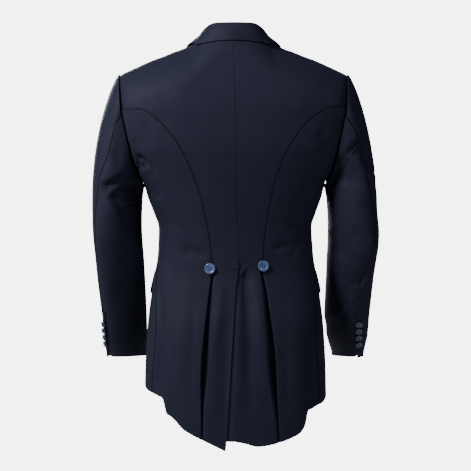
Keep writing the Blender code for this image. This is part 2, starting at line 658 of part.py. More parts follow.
for side, tag in ((LEFT, "left"), (RIGHT, "right")):
    shell(f"lapel_{tag}", [patch(lapel(side), np.linspace(0, 1, 5), np.linspace(0, 1, 12), outward)])
    across = [0, 0.02, 0.06] + list(np.linspace(0.18, 0.82, 6)) + [0.94, 0.98, 1]
    shell(f"pocket_flap_{tag}", [patch(pocket_flap(side), across, [0, 0.5, 1], outward)])


def button(name, shape, spot, normal, sides):
    """A turned four-hole button with a raised rim, standing on the cloth at spot."""
    rim = [Vector((r, 0, h)) * 0.001 for r, h in zip(shape["radius"], shape["height"])][::-1]
    mesh = bpy.data.meshes.new(name)
    mesh.from_pydata(rim, [(k, k + 1) for k in range(len(rim) - 1)], [])
    thing = add(name, mesh, BUTTON, 0.2)
    screw = thing.modifiers.new("turn", "SCREW")
    screw.steps = screw.render_steps = sides
    screw.use_merge_vertices, screw.merge_threshold = True, 0.00001
    spot = leaned(np.array(spot))
    z = Vector(normal).normalized()
    thing.matrix_world = (Matrix.Translation(Vector(spot) * 0.001)
                          @ z.to_track_quat("Z", "Y").to_matrix().to_4x4())
    holes = bmesh.new()
    reach = shape["radius"][-2] * 0.00034
    for k in range(4):
        a = math.pi / 4 + k * math.pi / 2
        bmesh.ops.create_cone(holes, cap_ends=True, segments=6, radius1=0.0009, radius2=0.0009,
                              depth=0.02, matrix=Matrix.Translation((math.cos(a) * reach,
                                                                     math.sin(a) * reach, 0.01)))
    cutter_mesh = bpy.data.meshes.new(name + "_holes")
    holes.to_mesh(cutter_mesh)
    holes.free()
    cutter = bpy.data.objects.new(name + "_holes", cutter_mesh)
    cutters.objects.link(cutter)
    cutter.matrix_world = thing.matrix_world
    cutter.hide_render, cutter.display_type = True, "WIRE"
    cut = thing.modifiers.new("holes", "BOOLEAN")
    cut.object, cut.solver = cutter, "EXACT"
    return thing


def surface_way(place, *at):
    """A point of a surface and the way it faces, from three nearby points."""
    points, n = patch(place, [at[0] - 0.01, at[0]], [at[1] - 0.01, at[1]], outward)
    return points[1, 1], n[1, 1]


for side, tag in ((LEFT, "left"), (RIGHT, "right")):
    out, level = WAIST_BUTTONS[side]
    where = degrees_at(np.array(float(out)), level)
    spot, n = surface_way(lambda f, v: body(side, f, v, 0.4), where, level)
    button(f"waist_button_{tag}", BIG_BUTTON, spot, n, 20)
    for k in range(SLEEVE_BUTTONS["count"]):
        level = SLEEVE_BUTTONS["first"] - SLEEVE_BUTTONS["pitch"] * k
        down = np.array(1 + (level - SLEEVE_JOIN) / (CUFF - SLEEVE_JOIN))
        turn = hind(side, down) - 0.5 * VENT_TONGUE[side]["width"]
        spot = raised(side, turn, down, 2.3)
        n = raised(side, turn, down, 3.3) - spot
        button(f"sleeve_button_{tag}_{k + 1}", SMALL_BUTTON, spot, n, 12)

for k, level in enumerate(FRONT_BUTTONS):
    spot = body(LEFT, np.array(180.0), np.array(float(level)), 0.5)
    n = body(LEFT, np.array(180.0), np.array(float(level)), 1.5) - spot
    button(f"front_button_{k + 1}", BIG_BUTTON, spot, n, 16)
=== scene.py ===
import math

import bmesh
import bpy
import numpy as np
from mathutils import Matrix, Vector


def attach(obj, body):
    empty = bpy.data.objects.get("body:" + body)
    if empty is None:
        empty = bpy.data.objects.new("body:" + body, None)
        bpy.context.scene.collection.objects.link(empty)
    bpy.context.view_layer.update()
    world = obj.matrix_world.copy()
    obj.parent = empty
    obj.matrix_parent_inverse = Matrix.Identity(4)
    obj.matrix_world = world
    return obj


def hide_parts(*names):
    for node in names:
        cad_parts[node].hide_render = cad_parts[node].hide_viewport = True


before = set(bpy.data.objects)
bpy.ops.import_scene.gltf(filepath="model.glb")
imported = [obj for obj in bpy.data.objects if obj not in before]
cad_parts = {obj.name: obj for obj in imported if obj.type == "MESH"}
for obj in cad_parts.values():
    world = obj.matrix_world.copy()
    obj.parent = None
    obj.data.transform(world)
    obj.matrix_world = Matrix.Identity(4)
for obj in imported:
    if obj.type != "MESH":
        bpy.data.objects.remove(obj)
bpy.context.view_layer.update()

LEFT, RIGHT = 1, -1
SIDES = ((LEFT, "left"), (RIGHT, "right"))

# The back: two panels of fine navy worsted wool from the neck to the waist, each cut in one with a
# tail strip below it. The centre seam joins them, and the left strip laps over the right one at
# the vent. All sizes are millimetres, as in the cut, until a mesh is made.
WALL, SEAM, FOLD, TURNING = 1.8, 0.3, 2.2, 3.6
SHOULDER_ROUND, CHEST_ROUND = 80.0, 100.0
FRONT_POWER = 2.15  # how square a ring's front half is; an ellipse has 2
WAIST, ARMPIT = -456.0, -294.0
BACK_SEAM_TOP = {LEFT: -138.5, RIGHT: -134.0}
LEAN = {"level": [-420, -340, -280, -200, -60, 45], "x": [0, 1.5, 2.5, 3.8, 4, 3.5]}
SKIRT_TOP = WAIST - 4
UNDERLAP, PLEAT_RUN = 32.0, 26.0
RINGS = {
    "level": [-860, -700, -655, -590, -555, -520, -505, -475, -441, -409, -376, -343, -311, -294,
              -247, -215, -150, -95, -50, 0, 60],
    "half": [187, 185, 184, 180.5, 177.5, 173, 171, 166.5, 160, 157.5, 156, 166, 178, 183,
             215, 235, 255, 262, 264, 264, 264],
    "back": [121, 115, 112, 106, 100, 91, 88, 82, 80, 82, 86, 92, 98, 101,
             110, 115, 116, 107, 93, 78, 60],
    "front": [130, 128, 127, 125, 123, 120, 118, 115, 112, 111, 113, 117, 121, 123,
              127, 126, 114, 99, 82, 62, 40],
}
SHOULDER = {
    "out": [0, 40, 65, 80, 99, 122, 142, 167, 203, 232, 275],
    "level": [60, 37, 15, 1, -8.6, -17, -25.2, -34.4, -50.6, -64.4, -93],
}
NECK = {"out": [0, 25, 40, 60, 72, 80], "level": [11, 10, 8, 5, 2, 1]}
CENTRE_SEAM = {"level": [-456, -400, -300, -142, -82, 11], "x": [-7, -6, -5, -4.5, -3, 1]}
VENT = {"level": [-830, -775, -706, -637, -568, -498, -456], "x": [20, 16, 12, 8, 3.5, -1, -6]}
ARMHOLE_BACK = {
    "level": [-294, -291, -284, -270, -247, -217, -160, -136, -99, -60],
    "out": [182.8, 184.3, 187.5, 194, 202.5, 210, 222.3, 226.8, 229.5, 232],
}
ARMHOLE_FRONT = {
    "level": [-294, -291, -280, -262, -235, -200, -165, -130, -95, -60],
    "out": [182.8, 184.2, 187.5, 191, 195, 200, 206, 214, 224, 232],
}
BACK_SEAM = {
    LEFT: {"out": [195, 186, 174, 161, 136, 110.5, 91.5, 77, 71, 63.6, 57.6, 52.4, 48.5, 47.6, 48],
           "level": [-138.5, -139.7, -144.2, -152.5, -175, -209, -245, -283, -301, -328, -361, -390,
                     -421, -443, -456]},
    RIGHT: {"out": [204, 196, 185, 165.5, 142.5, 127.5, 112, 100.3, 90.3, 81.8, 77.2, 68.2, 62.4,
                    57.3, 55.7, 55],
            "level": [-134, -135.1, -138.8, -151, -171, -189, -214, -236, -259, -284, -301, -343,
                      -374, -408, -434, -456]},
}
PLEAT = {
    LEFT: {"level": [-850, -792, -746, -700, -645, -595, -524, -470, -456],
           "out": [68, 68, 68, 69, 68, 63.5, 55, 48.5, 48]},
    RIGHT: {"level": [-850, -794, -720, -665, -610, -558, -506, -465, -456],
            "out": [92, 88.5, 84, 82, 78, 71, 63, 55.5, 55]},
}
PLEAT_OPEN = {"level": [-850, -740, -700, -650, -600, -540, -490, -456],
              "gap": [1, 2, 7, 11, 9, 5, 2, 1]}
HEM_BACK = {
    LEFT: {"out": [0, 19, 45, 78.5, 94.5, 106.5, 120.5, 130.5, 139, 142, 145, 155.5, 170.5, 181, 188],
           "level": [-829, -820.5, -808, -792.5, -784, -776, -760.5, -752, -745, -733, -721, -713,
                     -707, -701, -692]},
    RIGHT: {"out": [0, 19, 45, 61, 94, 114, 130.5, 136.5, 140, 142, 144.5, 154, 166, 178, 184, 188],
            "level": [-801, -805, -811, -809.5, -801.5, -794, -784.5, -776.5, -769, -761, -746, -739,
                      -732, -727, -719, -710]},
}
HEM_FRONT = {
    "x": [-20, -15, 0, 15, 30, 50, 70, 90, 115, 145, 190],
    "level": [-486, -492, -514, -541, -574, -620, -660, -688, -702, -703, -700],
}
HEM_END, FRONT_HEM = 188, -702  # where the back's hem tables end, and the front's level near there


def read(table, column, at, key="level", level_start=False):
    """A smooth curve through one column of a table, held straight past its ends."""
    xs, ys = np.array(table[key], float), np.array(table[column], float)
    if xs[0] > xs[-1]:
        xs, ys = xs[::-1], ys[::-1]
    step = np.diff(ys) / np.diff(xs)
    slope = np.concatenate([[step[0] * (not level_start)], (step[1:] + step[:-1]) / 2, [step[-1]]])
    flat = np.concatenate([[False], step[1:] * step[:-1] <= 0, [False]])
    slope[flat] = 0
    at = np.asarray(at, float)
    i = np.clip(np.searchsorted(xs, at) - 1, 0, len(xs) - 2)
    h = xs[i + 1] - xs[i]
    t = np.clip((at - xs[i]) / h, 0, 1)
    return (ys[i] * (1 + 2 * t) * (1 - t) ** 2 + ys[i + 1] * t * t * (3 - 2 * t)
            + slope[i] * h * t * (1 - t) ** 2 - slope[i + 1] * h * t * t * (1 - t))


def ease(t):
    """0 before 0, 1 after 1 and a soft S between."""
    t = np.clip(t, 0, 1)
    return t * t * (3 - 2 * t)


def roundness(level):
    """The power of the ring's back half: squarer across the shoulder blades."""
    return 2.3 + 0.35 * ease((level + 420) / 200) + 0.15 * ease((-500 - level) / 100)


def ring(degrees, level):
    """A point of a level ring; 0 is the centre back, 90 the side and 180 the centre front."""
    a = np.radians(degrees)
    s, c = np.sin(a), np.cos(a)
    power = np.where(c > 0, roundness(level), FRONT_POWER)
    half = read(RINGS, "half", level)
    depth = np.where(c > 0, read(RINGS, "back", level), read(RINGS, "front", level))
    x = half * np.sign(s) * np.abs(s) ** (2 / power)
    y = depth * np.sign(c) * np.abs(c) ** (2 / power)
    reach = np.where(c > 0, SHOULDER_ROUND, CHEST_ROUND)
    drop = np.clip((read(SHOULDER, "level", np.abs(x), "out") - level) / reach, 0, 1)
    return x, y * np.sqrt(1 - (1 - drop) ** 2)


def degrees_at(x, level, front=False):
    """The angle at which a ring is x from the centre line."""
    power = np.where(front, FRONT_POWER, roundness(level))
    share = np.clip(np.abs(x) / read(RINGS, "half", level), 0, 1) ** (power / 2)
    a = np.degrees(np.arcsin(share)) * np.sign(x)
    return np.where(front, 180 - a, a)


def body(side, degrees, level, out=0.0):
    """A point of the coat's surface on one side, moved out along the surface's own normal."""
    level = level + 0 * degrees
    spot = lambda d, z: np.stack([*ring(d, z), z], -1)
    n = np.cross(spot(degrees + 0.2, level) - spot(degrees - 0.2, level),
                 spot(degrees, level - 0.5) - spot(degrees, level + 0.5))
    p = spot(degrees, level)
    n = n * np.sign((n * p * [1, 1, 0]).sum(-1, keepdims=True))
    n = n / np.linalg.norm(n, axis=-1, keepdims=True)
    return (p + n * np.asarray(out + 0 * degrees)[..., None]) * [side, 1, 1]


def upright(side, x, share, front):
    """A point of the upper body: share 0 on the neck or shoulder line, 1 at BACK_SEAM_TOP."""
    reach, sign = (CHEST_ROUND, -1) if front else (SHOULDER_ROUND, 1)
    out = np.abs(x)
    top = read(SHOULDER, "level", out, "out")
    start = top if front else np.where(out < 80, read(NECK, "level", out, "out"), top)

    def turn(drop):
        bent = reach * np.arccos(np.clip(1 - drop / reach, -1, 1))
        return np.where(drop < reach, bent, reach * math.pi / 2 + drop - reach)

    first = turn(np.maximum(top - start, 0)) + SEAM / 2
    along = first + (turn(top - BACK_SEAM_TOP[side]) - first) * share
    bend = np.minimum(along / reach, math.pi / 2)
    level = top - reach * (1 - np.cos(bend)) - np.maximum(along - reach * math.pi / 2, 0)
    power = FRONT_POWER if front else roundness(level)
    depth = read(RINGS, "front" if front else "back", level)
    y = depth * (1 - np.clip(out / read(RINGS, "half", level), 0, 1) ** power) ** (1 / power)
    return np.stack([side * x, sign * y * np.sin(bend), level], -1)


def outward(p):
    """Away from the coat's upright middle line."""
    return np.array([p[0], p[1], 0])


def patch(place, shares, rows, way=outward):
    """A grid of place(share, row), its normals to way at the last column, and each point's
    distance along its row from share 0."""
    f, v = np.meshgrid(np.array(shares, float), np.array(rows, float))
    step = 0.002
    n = np.cross(place(f + step, v) - place(f - step, v),
                 place(f, v + step) - place(f, v - step))
    n = n / np.linalg.norm(n, axis=-1, keepdims=True)
    p, middle = place(f, v), len(rows) // 2
    run = np.concatenate([np.zeros((len(rows), 1)),
                          np.cumsum(np.linalg.norm(np.diff(p, axis=1), axis=-1), 1)], 1)
    first = np.argmin(np.abs(np.array(shares)))
    return (p, n * np.sign(np.dot(n[middle, -1], way(p[middle, -1]))),
            run - run[:, first:first + 1])


def bridge(above, below, first=0, last=None):
    """The strip between the last row of one grid and some columns of the next one's first."""
    return tuple(np.stack([a[-1], b[0][first:last]]) for a, b in zip(above, below))


def turning(place, shares, rows, way=outward):
    """A seam's turning: a strip TURNING inside the surface, which closes the sight line there."""
    p, n, u = patch(place, shares, rows, way)
    return p - TURNING * n, n, u


def marks(count, near=(0.006, 0.014, 0.026, 0.042)):
    """Shares from 0 to 1, closer at both ends, where the seams are."""
    inner = np.linspace(0.06, 0.94, count)
    return [0, *near, *inner, *(1 - c for c in near[::-1]), 1]


def nearest(p, line):
    """The distance of points from a line of points, and how far along the line they are."""
    away, at = np.full(p.shape[:-1], 1e9), np.zeros(p.shape[:-1])
    for k, (a, b) in enumerate(zip(line[:-1], line[1:])):
        d = b - a
        s = np.clip(((p - a) @ d) / (d @ d), 0, 1)
        gap = np.linalg.norm(p - a - s[..., None] * d, axis=-1)
        at = np.where(gap < away, (k + s) / (len(line) - 1), at)
        away = np.minimum(gap, away)
    return away, at


def folds(p, table, side):
    """Soft troughs and ridges, drawn over a piece as it is seen from behind.

    Each row: where it starts, its middle and its end (out, level), how far it fades above and
    below, and its height, which is less than 0 for a trough.
    """
    flat = np.stack([(p[..., 0] + read(LEAN, "x", p[..., 2])) * side, p[..., 2]], -1)
    total = np.zeros(p.shape[:-1])
    for x0, z0, xm, zm, x1, z1, above, below, high in table:
        t = np.linspace(0, 1, 11)[:, None]
        bend = 2 * np.array([xm, zm]) - np.array([x0 + x1, z0 + z1]) / 2
        line = (np.array([x0, z0]) * (1 - t) ** 2 + bend * 2 * t * (1 - t)
                + np.array([x1, z1]) * t * t)
        away, at = nearest(flat, line)
        d = line[-1] - line[0]
        over = np.sign(d[0] * (flat[..., 1] - line[0][1]) - d[1] * (flat[..., 0] - line[0][0]))
        wide = np.where(over * (1 if d[0] >= 0 else -1) > 0, above, below)
        total += high * np.exp(-(away / wide) ** 2) * ease(at * 3 + 0.1) * ease((1 - at) * 3 + 0.1)
    return total


def groove(away, deep=0.5, wide=1.5):
    """The valley of a pressed seam."""
    return -deep * np.exp(-(away / wide) ** 2)


def placed(name, data):
    """A new object in the scene."""
    made = bpy.data.objects.new(name, data)
    bpy.context.scene.collection.objects.link(made)
    return made


def cloth(name, grids, relief, replaced):
    """One closed thin wall under grids that share the points where they meet.

    relief gives the height of the folds and the distance from the nearest seam, which sets how much painted
    seam shade darkens the colour there.
    """
    points, normal, along, quads, sewn, first = [], [], [], [], [], 0
    for p, n, u in grids:
        high, seam = relief(p, n) if relief else (0 * u, 50 + 0 * u)
        moved = p + n * high[..., None]
        # Painted seam shade: a mask, 0.75 on a seam line and fading within about 2 mm, that darkens the
        # cloth's colour there.
        sewn.append(0.75 * np.exp(-(seam / 1.3) ** 2).ravel())
        k = first + np.arange(u.size).reshape(u.shape)
        quads.append(np.stack([k[:-1, :-1], k[:-1, 1:], k[1:, 1:], k[1:, :-1]], -1).reshape(-1, 4))
        points.append(moved.reshape(-1, 3)), normal.append(n.reshape(-1, 3)), along.append(u.ravel())
        first += u.size
    points, normal, along, quads, sewn = map(np.concatenate, (points, normal, along, quads, sewn))
    points = points + read(LEAN, "x", points[:, 2])[:, None] * [1, 0, 0]
    _, keep, ids = np.unique(np.round(points, 2), axis=0, return_index=True, return_inverse=True)
    turn = (np.cross(points[quads[:, 2]] - points[quads[:, 0]],
                     points[quads[:, 3]] - points[quads[:, 1]]) * normal[quads].sum(1)).sum(1)
    quads[turn < 0] = quads[turn < 0][:, ::-1]
    outer, inner, count = points[keep], (points - WALL * normal)[keep], len(keep)
    faces = [[c for k, c in enumerate(q) if c != q[k - 1]] for q in ids.reshape(-1)[quads].tolist()]
    faces = [q for q in faces if len(q) > 2]
    ends = {(q[k - 1], q[k]) for q in faces for k in range(len(q))}
    rim = sorted((a, b) for a, b in ends if (b, a) not in ends)
    mesh = bpy.data.meshes.new(name)
    mesh.from_pydata(np.concatenate([outer, inner]) * 0.001, [],
                     faces + [[c + count for c in q[::-1]] for q in faces]
                     + [[b, a, a + count, b + count] for a, b in rim])
    corner = np.zeros(len(mesh.loops), int)
    mesh.loops.foreach_get("vertex_index", corner)
    spot = np.stack([along[keep], outer[:, 2]], -1) * 0.001
    mesh.uv_layers.new(name="cut").data.foreach_set(
        "uv", np.concatenate([spot, spot])[corner].reshape(-1))
    # The painted seam shade mask is kept as the seam attribute; the inner wall gets none.
    mesh.attributes.new("seam", "FLOAT", "POINT").data.foreach_set(
        "value", np.concatenate([sewn[keep], 0 * sewn[keep]]))
    mesh.materials.append(navy)
    mesh.shade_smooth()
    mesh.set_sharp_from_angle(angle=math.radians(50))
    piece = placed(name, mesh)
    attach(piece, "root")
    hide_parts(replaced)


def linear(code):
    """An sRGB hex colour as linear values."""
    parts = [int(code[k:k + 2], 16) / 255 for k in (1, 3, 5)]
    return (*(c / 12.92 if c <= 0.04045 else ((c + 0.055) / 1.055) ** 2.4 for c in parts), 1)


def node(tree, kind, settings=(), values=(), links=()):
    """Adds a node with its settings, socket values and links (socket, other node, its output)."""
    made = tree.nodes.new(kind)
    for name, value in dict(settings).items():
        setattr(made, name, value)
    for socket, value in dict(values).items():
        made.inputs[socket].default_value = value
    for socket, other, output in links:
        tree.links.new(other.outputs[output], made.inputs[socket])
    return made


def dyed(name, values, kind, pattern, first, second):
    """A material whose colour wanders between two hex colours by a pattern in object space."""
    made = bpy.data.materials.new(name)
    made.use_nodes = True
    tree = made.node_tree
    shader = tree.nodes["Principled BSDF"]
    for socket, value in values.items():
        shader.inputs[socket].default_value = value
    place = node(tree, "ShaderNodeTexCoord")
    spread = node(tree, kind, values=pattern, links=[("Vector", place, "Object")])
    colour = node(tree, "ShaderNodeMix", {"data_type": "RGBA"}, {6: linear(first), 7: linear(second)},
                  [("Factor", spread, "Fac")])
    tree.links.new(colour.outputs[2], shader.inputs["Base Color"])
    return made, shader, place, colour


# Worsted wool suiting, woven in a twill and pressed: a close, smooth, nearly matt navy whose fine
# nap catches a little light where the cloth turns away. Twill ribs are about 0.6 mm apart, which
# is too fine to show, so they are drawn 1.5 mm apart; the dye varies slightly over 10 to 30 mm.
navy, suiting, place, shade = dyed(
    "navy_worsted_twill",
    {"Roughness": 0.6, "Specular IOR Level": 0.06, "Sheen Weight": 0.03, "Sheen Roughness": 0.4,
     "Sheen Tint": linear("#9aa4c8")},
    "ShaderNodeTexNoise", {"Scale": 45.0, "Detail": 3.0, "Roughness": 0.5}, "#1f202f", "#242635")
weave = navy.node_tree
# Painted shade: along each seam's pressed valley the base colour is mixed towards near-black by the seam
# attribute, standing in for the shadow that falls in the groove.
seam_shade_mask = node(weave, "ShaderNodeAttribute", {"attribute_name": "seam"})
seam_shade_colour = node(weave, "ShaderNodeMix", {"data_type": "RGBA"}, {7: linear("#05060b")},
               [("Factor", seam_shade_mask, "Fac"), (6, shade, 2)])
weave.links.new(seam_shade_colour.outputs[2], suiting.inputs["Base Color"])
cut = node(weave, "ShaderNodeUVMap", {"uv_map": "cut"})
bias = node(weave, "ShaderNodeMapping", values={"Rotation": (0, 0, math.radians(62))},
            links=[("Vector", cut, "UV")])
ribs = node(weave, "ShaderNodeTexWave", {"wave_type": "BANDS", "bands_direction": "X"},
            {"Scale": 1 / 0.0015 / 3.1416 / 2, "Distortion": 1.5, "Detail": 1.0, "Detail Scale": 2.0},
            [("Vector", bias, "Vector")])
nap = node(weave, "ShaderNodeTexNoise", values={"Scale": 500.0, "Detail": 2.0},
           links=[("Vector", place, "Object")])
raised = node(weave, "ShaderNodeMath", {"operation": "ADD"}, {}, [(0, ribs, "Fac"), (1, nap, "Fac")])
bump = node(weave, "ShaderNodeBump", values={"Strength": 0.10, "Distance": 0.0003},
            links=[("Height", raised, "Value")])
weave.links.new(bump.outputs["Normal"], suiting.inputs["Normal"])

VENT_STITCHES = np.array([[39.6, -457], [-6.5, -460]])  # the row of stitches that holds the vent's top
BACK_FOLDS = {
    LEFT: [(7, -22, 27, -38, 59, -38, 9, 10, -0.8), (3, -46, 23, -58, 55, -62, 8, 12, -0.7),
           (61, -81, 111, -105, 141, -151, 30, 26, 1), (26, -474, 34, -560, 44, -640, 10, 9, 2.4),
           (12, -540, 20, -640, 24, -780, 12, 12, -2.4)],
    RIGHT: [(5, -26, 25, -38, 53, -30, 9, 10, -0.8), (65, -89, 109, -113, 144, -153, 30, 26, 1),
            (12, -464, 24, -530, 30, -800, 16, 14, -8), (26, -470, 46, -530, 54, -620, 10, 10, 2.4),
            (44, -600, 52, -690, 62, -790, 12, 12, -1.6)],
}


def back_edge(side, level):
    """The centre seam's distance out on one side, clear of it by half the seam's gap."""
    return side * read(CENTRE_SEAM, "x", level) + SEAM / 2


def sink(side, x, level):
    """How far a tail strip lies inside the coat's surface: in the pleat, and under the lap."""
    below = ease((-442 - level) / 16)
    edge, gap = read(PLEAT[side], "out", level), read(PLEAT_OPEN, "gap", level)
    deep = (7.0 + 0.6 * gap) * below * ease((x - edge + gap + 7) / 10)
    if side == RIGHT:
        deep = deep + 2.7 * below * ease((read(VENT, "x", level) * -1 - x + 14) / 12)
    return deep


def hem(side, degrees, x, front=False):
    """The level of the hem."""
    back = read(HEM_BACK[side], "level", np.abs(x) * np.where(x < 0, 0, 1), "out")
    if not front:
        return back
    end = read(HEM_BACK[side], "level", HEM_END, "out")
    plain = read(HEM_FRONT, "level", x, "x") + (end - FRONT_HEM) * ease((140 - degrees) / 45)
    return plain + (back - plain) * ease((100 - degrees) / 12)


def seam_gap(seam, level):
    """Half of the gap at a curved seam, measured along the level."""
    slope = read(seam, "out", level + 0.5) - read(seam, "out", level - 0.5)
    return SEAM / 2 * np.sqrt(1 + slope ** 2)


def seam_line(side, table, first, last, steps=40):
    """Points of the coat's surface along a table of out and level."""
    level = np.linspace(first, last, steps)
    return body(side, degrees_at(read(table, "out", level), level), level)


LEVELS = np.concatenate([np.arange(-146.5, -284, -3.5),
                         [-284, -287, -289, -291, -292.7, ARMPIT, -297], np.arange(-301, -452, -3.8),
                         [-453, WAIST]])
JOIN_STEPS = np.array([0, 0.8, 2, 3.5, 5.3])  # rows close under the top of the curved seam
SKIRT = np.linspace(0, 1, 100)
back_seam_points = {}
for side, tag in SIDES:
    seam = BACK_SEAM[side]
    join = BACK_SEAM_TOP[side]
    start, far = back_edge(side, join), read(ARMHOLE_BACK, "out", join) - SEAM / 2
    split = (seam["out"][0] - seam_gap(seam, join) - start) / (far - start)
    t = np.linspace(0, 1, 60) * (len(seam["out"]) - 1)
    index = np.arange(len(seam["out"]))
    curve = (read({"k": index, "v": seam["out"]}, "v", t, "k"),
             read({"k": index, "v": seam["level"]}, "v", t, "k"))
    back_seam_points[side] = body(side, degrees_at(curve[0], curve[1]), curve[1])
    top_edge = seam_line(side, {"level": [join - 0.1, join + 0.1], "out": [seam["out"][0], far]},
                         join - 0.1, join + 0.1)

    def upper(f, v):
        x = start + (far - start) * f
        for _ in range(3):
            level = upright(side, x, v, False)[..., 2]
            x0 = back_edge(side, level)
            x = x0 + (read(ARMHOLE_BACK, "out", level) - SEAM / 2 - x0) * f
        return upright(side, x, v, False)

    def middle(f, level):
        x0 = back_edge(side, level)
        x = x0 + (read(seam, "out", level) - seam_gap(seam, level) - x0) * f
        return body(side, degrees_at(x, level), level, -sink(side, x, level))

    def tail(f, v):
        level = SKIRT_TOP - 340 * v
        for _ in range(4):
            lap, edge = side * read(VENT, "x", level), read(PLEAT[side], "out", level)
            near, under = lap + SEAM / 2, lap - UNDERLAP
            x = np.where(f < 0, under + (near - under) * (f + 1),
                         np.where(f <= 1, near + (edge - near) * f, edge + PLEAT_RUN * (f - 1)))
            level = SKIRT_TOP + (hem(side, 0, x) - SKIRT_TOP) * v
        return body(side, degrees_at(x, level), level, -sink(side, x, level))

    def back_relief(p, n):
        x, z = p[..., 0] * side, p[..., 2]
        centre = np.abs(x - side * read(CENTRE_SEAM, "x", z)) + 50 * ease((WAIST + 6 - z) / 6)
        curved = np.minimum(nearest(p, back_seam_points[side])[0], nearest(p, top_edge[[0, -1]])[0])
        seams = np.minimum(centre + 1.0, curved)
        total = groove(seams)
        if side == LEFT:
            # The painted seam shade also runs along the row of stitches at the vent's top.
            seams = np.minimum(seams, nearest(np.stack([x, z], -1), VENT_STITCHES)[0] + 0.6)
        arm = read(ARMHOLE_BACK, "out", z) - x + 50 * (z < BACK_SEAM_TOP[side])
        low = ease((-40 - z) / 110)
        total += groove(np.abs(arm), 0.8 + 4 * low, 3 + 6 * low)
        tail_x = side * read(VENT, "x", z)
        hold = ease((x - tail_x + 2) / 14) if side == RIGHT else ease((x - tail_x) / 6)
        hold = np.where(z > WAIST, 1, hold * ease((read(PLEAT[side], "out", z) - 4 - x) / 10))
        return total + folds(p, BACK_FOLDS[side], side) * hold, seams

    across = marks(44)
    lap = list(np.linspace(-1, -0.08, 10)) if side == RIGHT else []
    top = patch(upper, [f * split for f in across]
                + list(split + (1 - split) * np.array([0.1, 0.25, 0.4, 0.55, 0.7, 0.82, 0.91, 0.97, 1])),
                np.linspace(0, 1, 64))
    mid = patch(middle, across, [*(join - JOIN_STEPS), *LEVELS])
    low = patch(tail, lap + across + list(np.linspace(1.06, 2, 12)), SKIRT)
    waist = bridge(mid, low, len(lap), len(lap) + len(across))
    beside = [-0.1, -0.05, 0, 0.05, 0.1]
    turnings = [turning(upper, beside, np.linspace(0.01, 1, 20)),
                turning(middle, beside, [join + 1, *LEVELS[::4]])] if side == LEFT else []
    cloth(f"panel_back_{tag}", [top, mid, waist, low, *turnings], back_relief,
          f"back_{tag}")


# The side panels: one piece on each side from the armhole to the hem, joined to the back by the
# curved seam. Below the waist button its edge is pressed back on itself as the side pleat.
PLEAT_UNDER = 20.0
SIDE_SEAM = {"level": [-860, -700, -595, -530, -466, -380, -294],
             "degrees": [63, 63, 60, 66, 74, 84, 90]}
SIDE_FOLDS = {
    LEFT: [(206, -196, 200, -214, 196, -236, 8, 10, -2.4), (204, -236, 188, -240, 176, -262, 6, 18, -10),
           (170, -238, 167, -256, 163, -276, 9, 9, -2.4), (180, -156, 178, -190, 184, -220, 12, 12, -1.2),
           (184, -312, 166, -308, 150, -322, 10, 16, -3.2),
           (106, -415, 84, -422, 57, -436, 7, 12, -4), (150, -384, 127, -408, 91, -444, 9, 9, -1.2),
           (156, -474, 147, -530, 144, -620, 4, 20, -5),
           (144, -572, 150, -644, 158, -707, 10, 14, -4), (99, -480, 107, -580, 111, -719, 18, 18, 1.4),
           (83, -520, 87, -620, 91, -759, 9, 9, -1.2)],
    RIGHT: [(192, -221, 180, -201, 164, -177, 12, 12, -2.4), (184, -301, 168, -273, 148, -245, 12, 12, -2.6),
            (172, -349, 152, -329, 129, -313, 12, 12, -1.6), (135, -388, 125, -412, 109, -440, 9, 9, -2.2),
            (73, -420, 93, -414, 121, -410, 7, 9, -3.4), (154, -572, 156, -651, 158, -747, 10, 8, -2.6),
            (172, -564, 172, -632, 174, -711, 7, 8, -2), (113, -500, 121, -620, 125, -767, 18, 18, 1.4),
            (97, -580, 103, -679, 107, -791, 9, 9, -1.2)],
}


def speed(degrees, level):
    """Millimetres along a ring for each degree."""
    ends = [np.stack([*ring(degrees + d, level)], -1) for d in (-0.5, 0.5)]
    return np.linalg.norm(ends[1] - ends[0], axis=-1)


def arm_degrees(level, front):
    """Where a ring meets the armhole."""
    table = ARMHOLE_FRONT if front else ARMHOLE_BACK
    return degrees_at(read(table, "out", level), level, front)


def under_arm(level, front):
    """The outer end of a side or front panel's row: the armhole, and below it the side seam."""
    clear = SEAM / 2 * (1 if front else -1)
    end = np.where(level >= ARMPIT, arm_degrees(np.maximum(level, ARMPIT), front),
                   read(SIDE_SEAM, "degrees", level))
    return end + clear / speed(end, level)


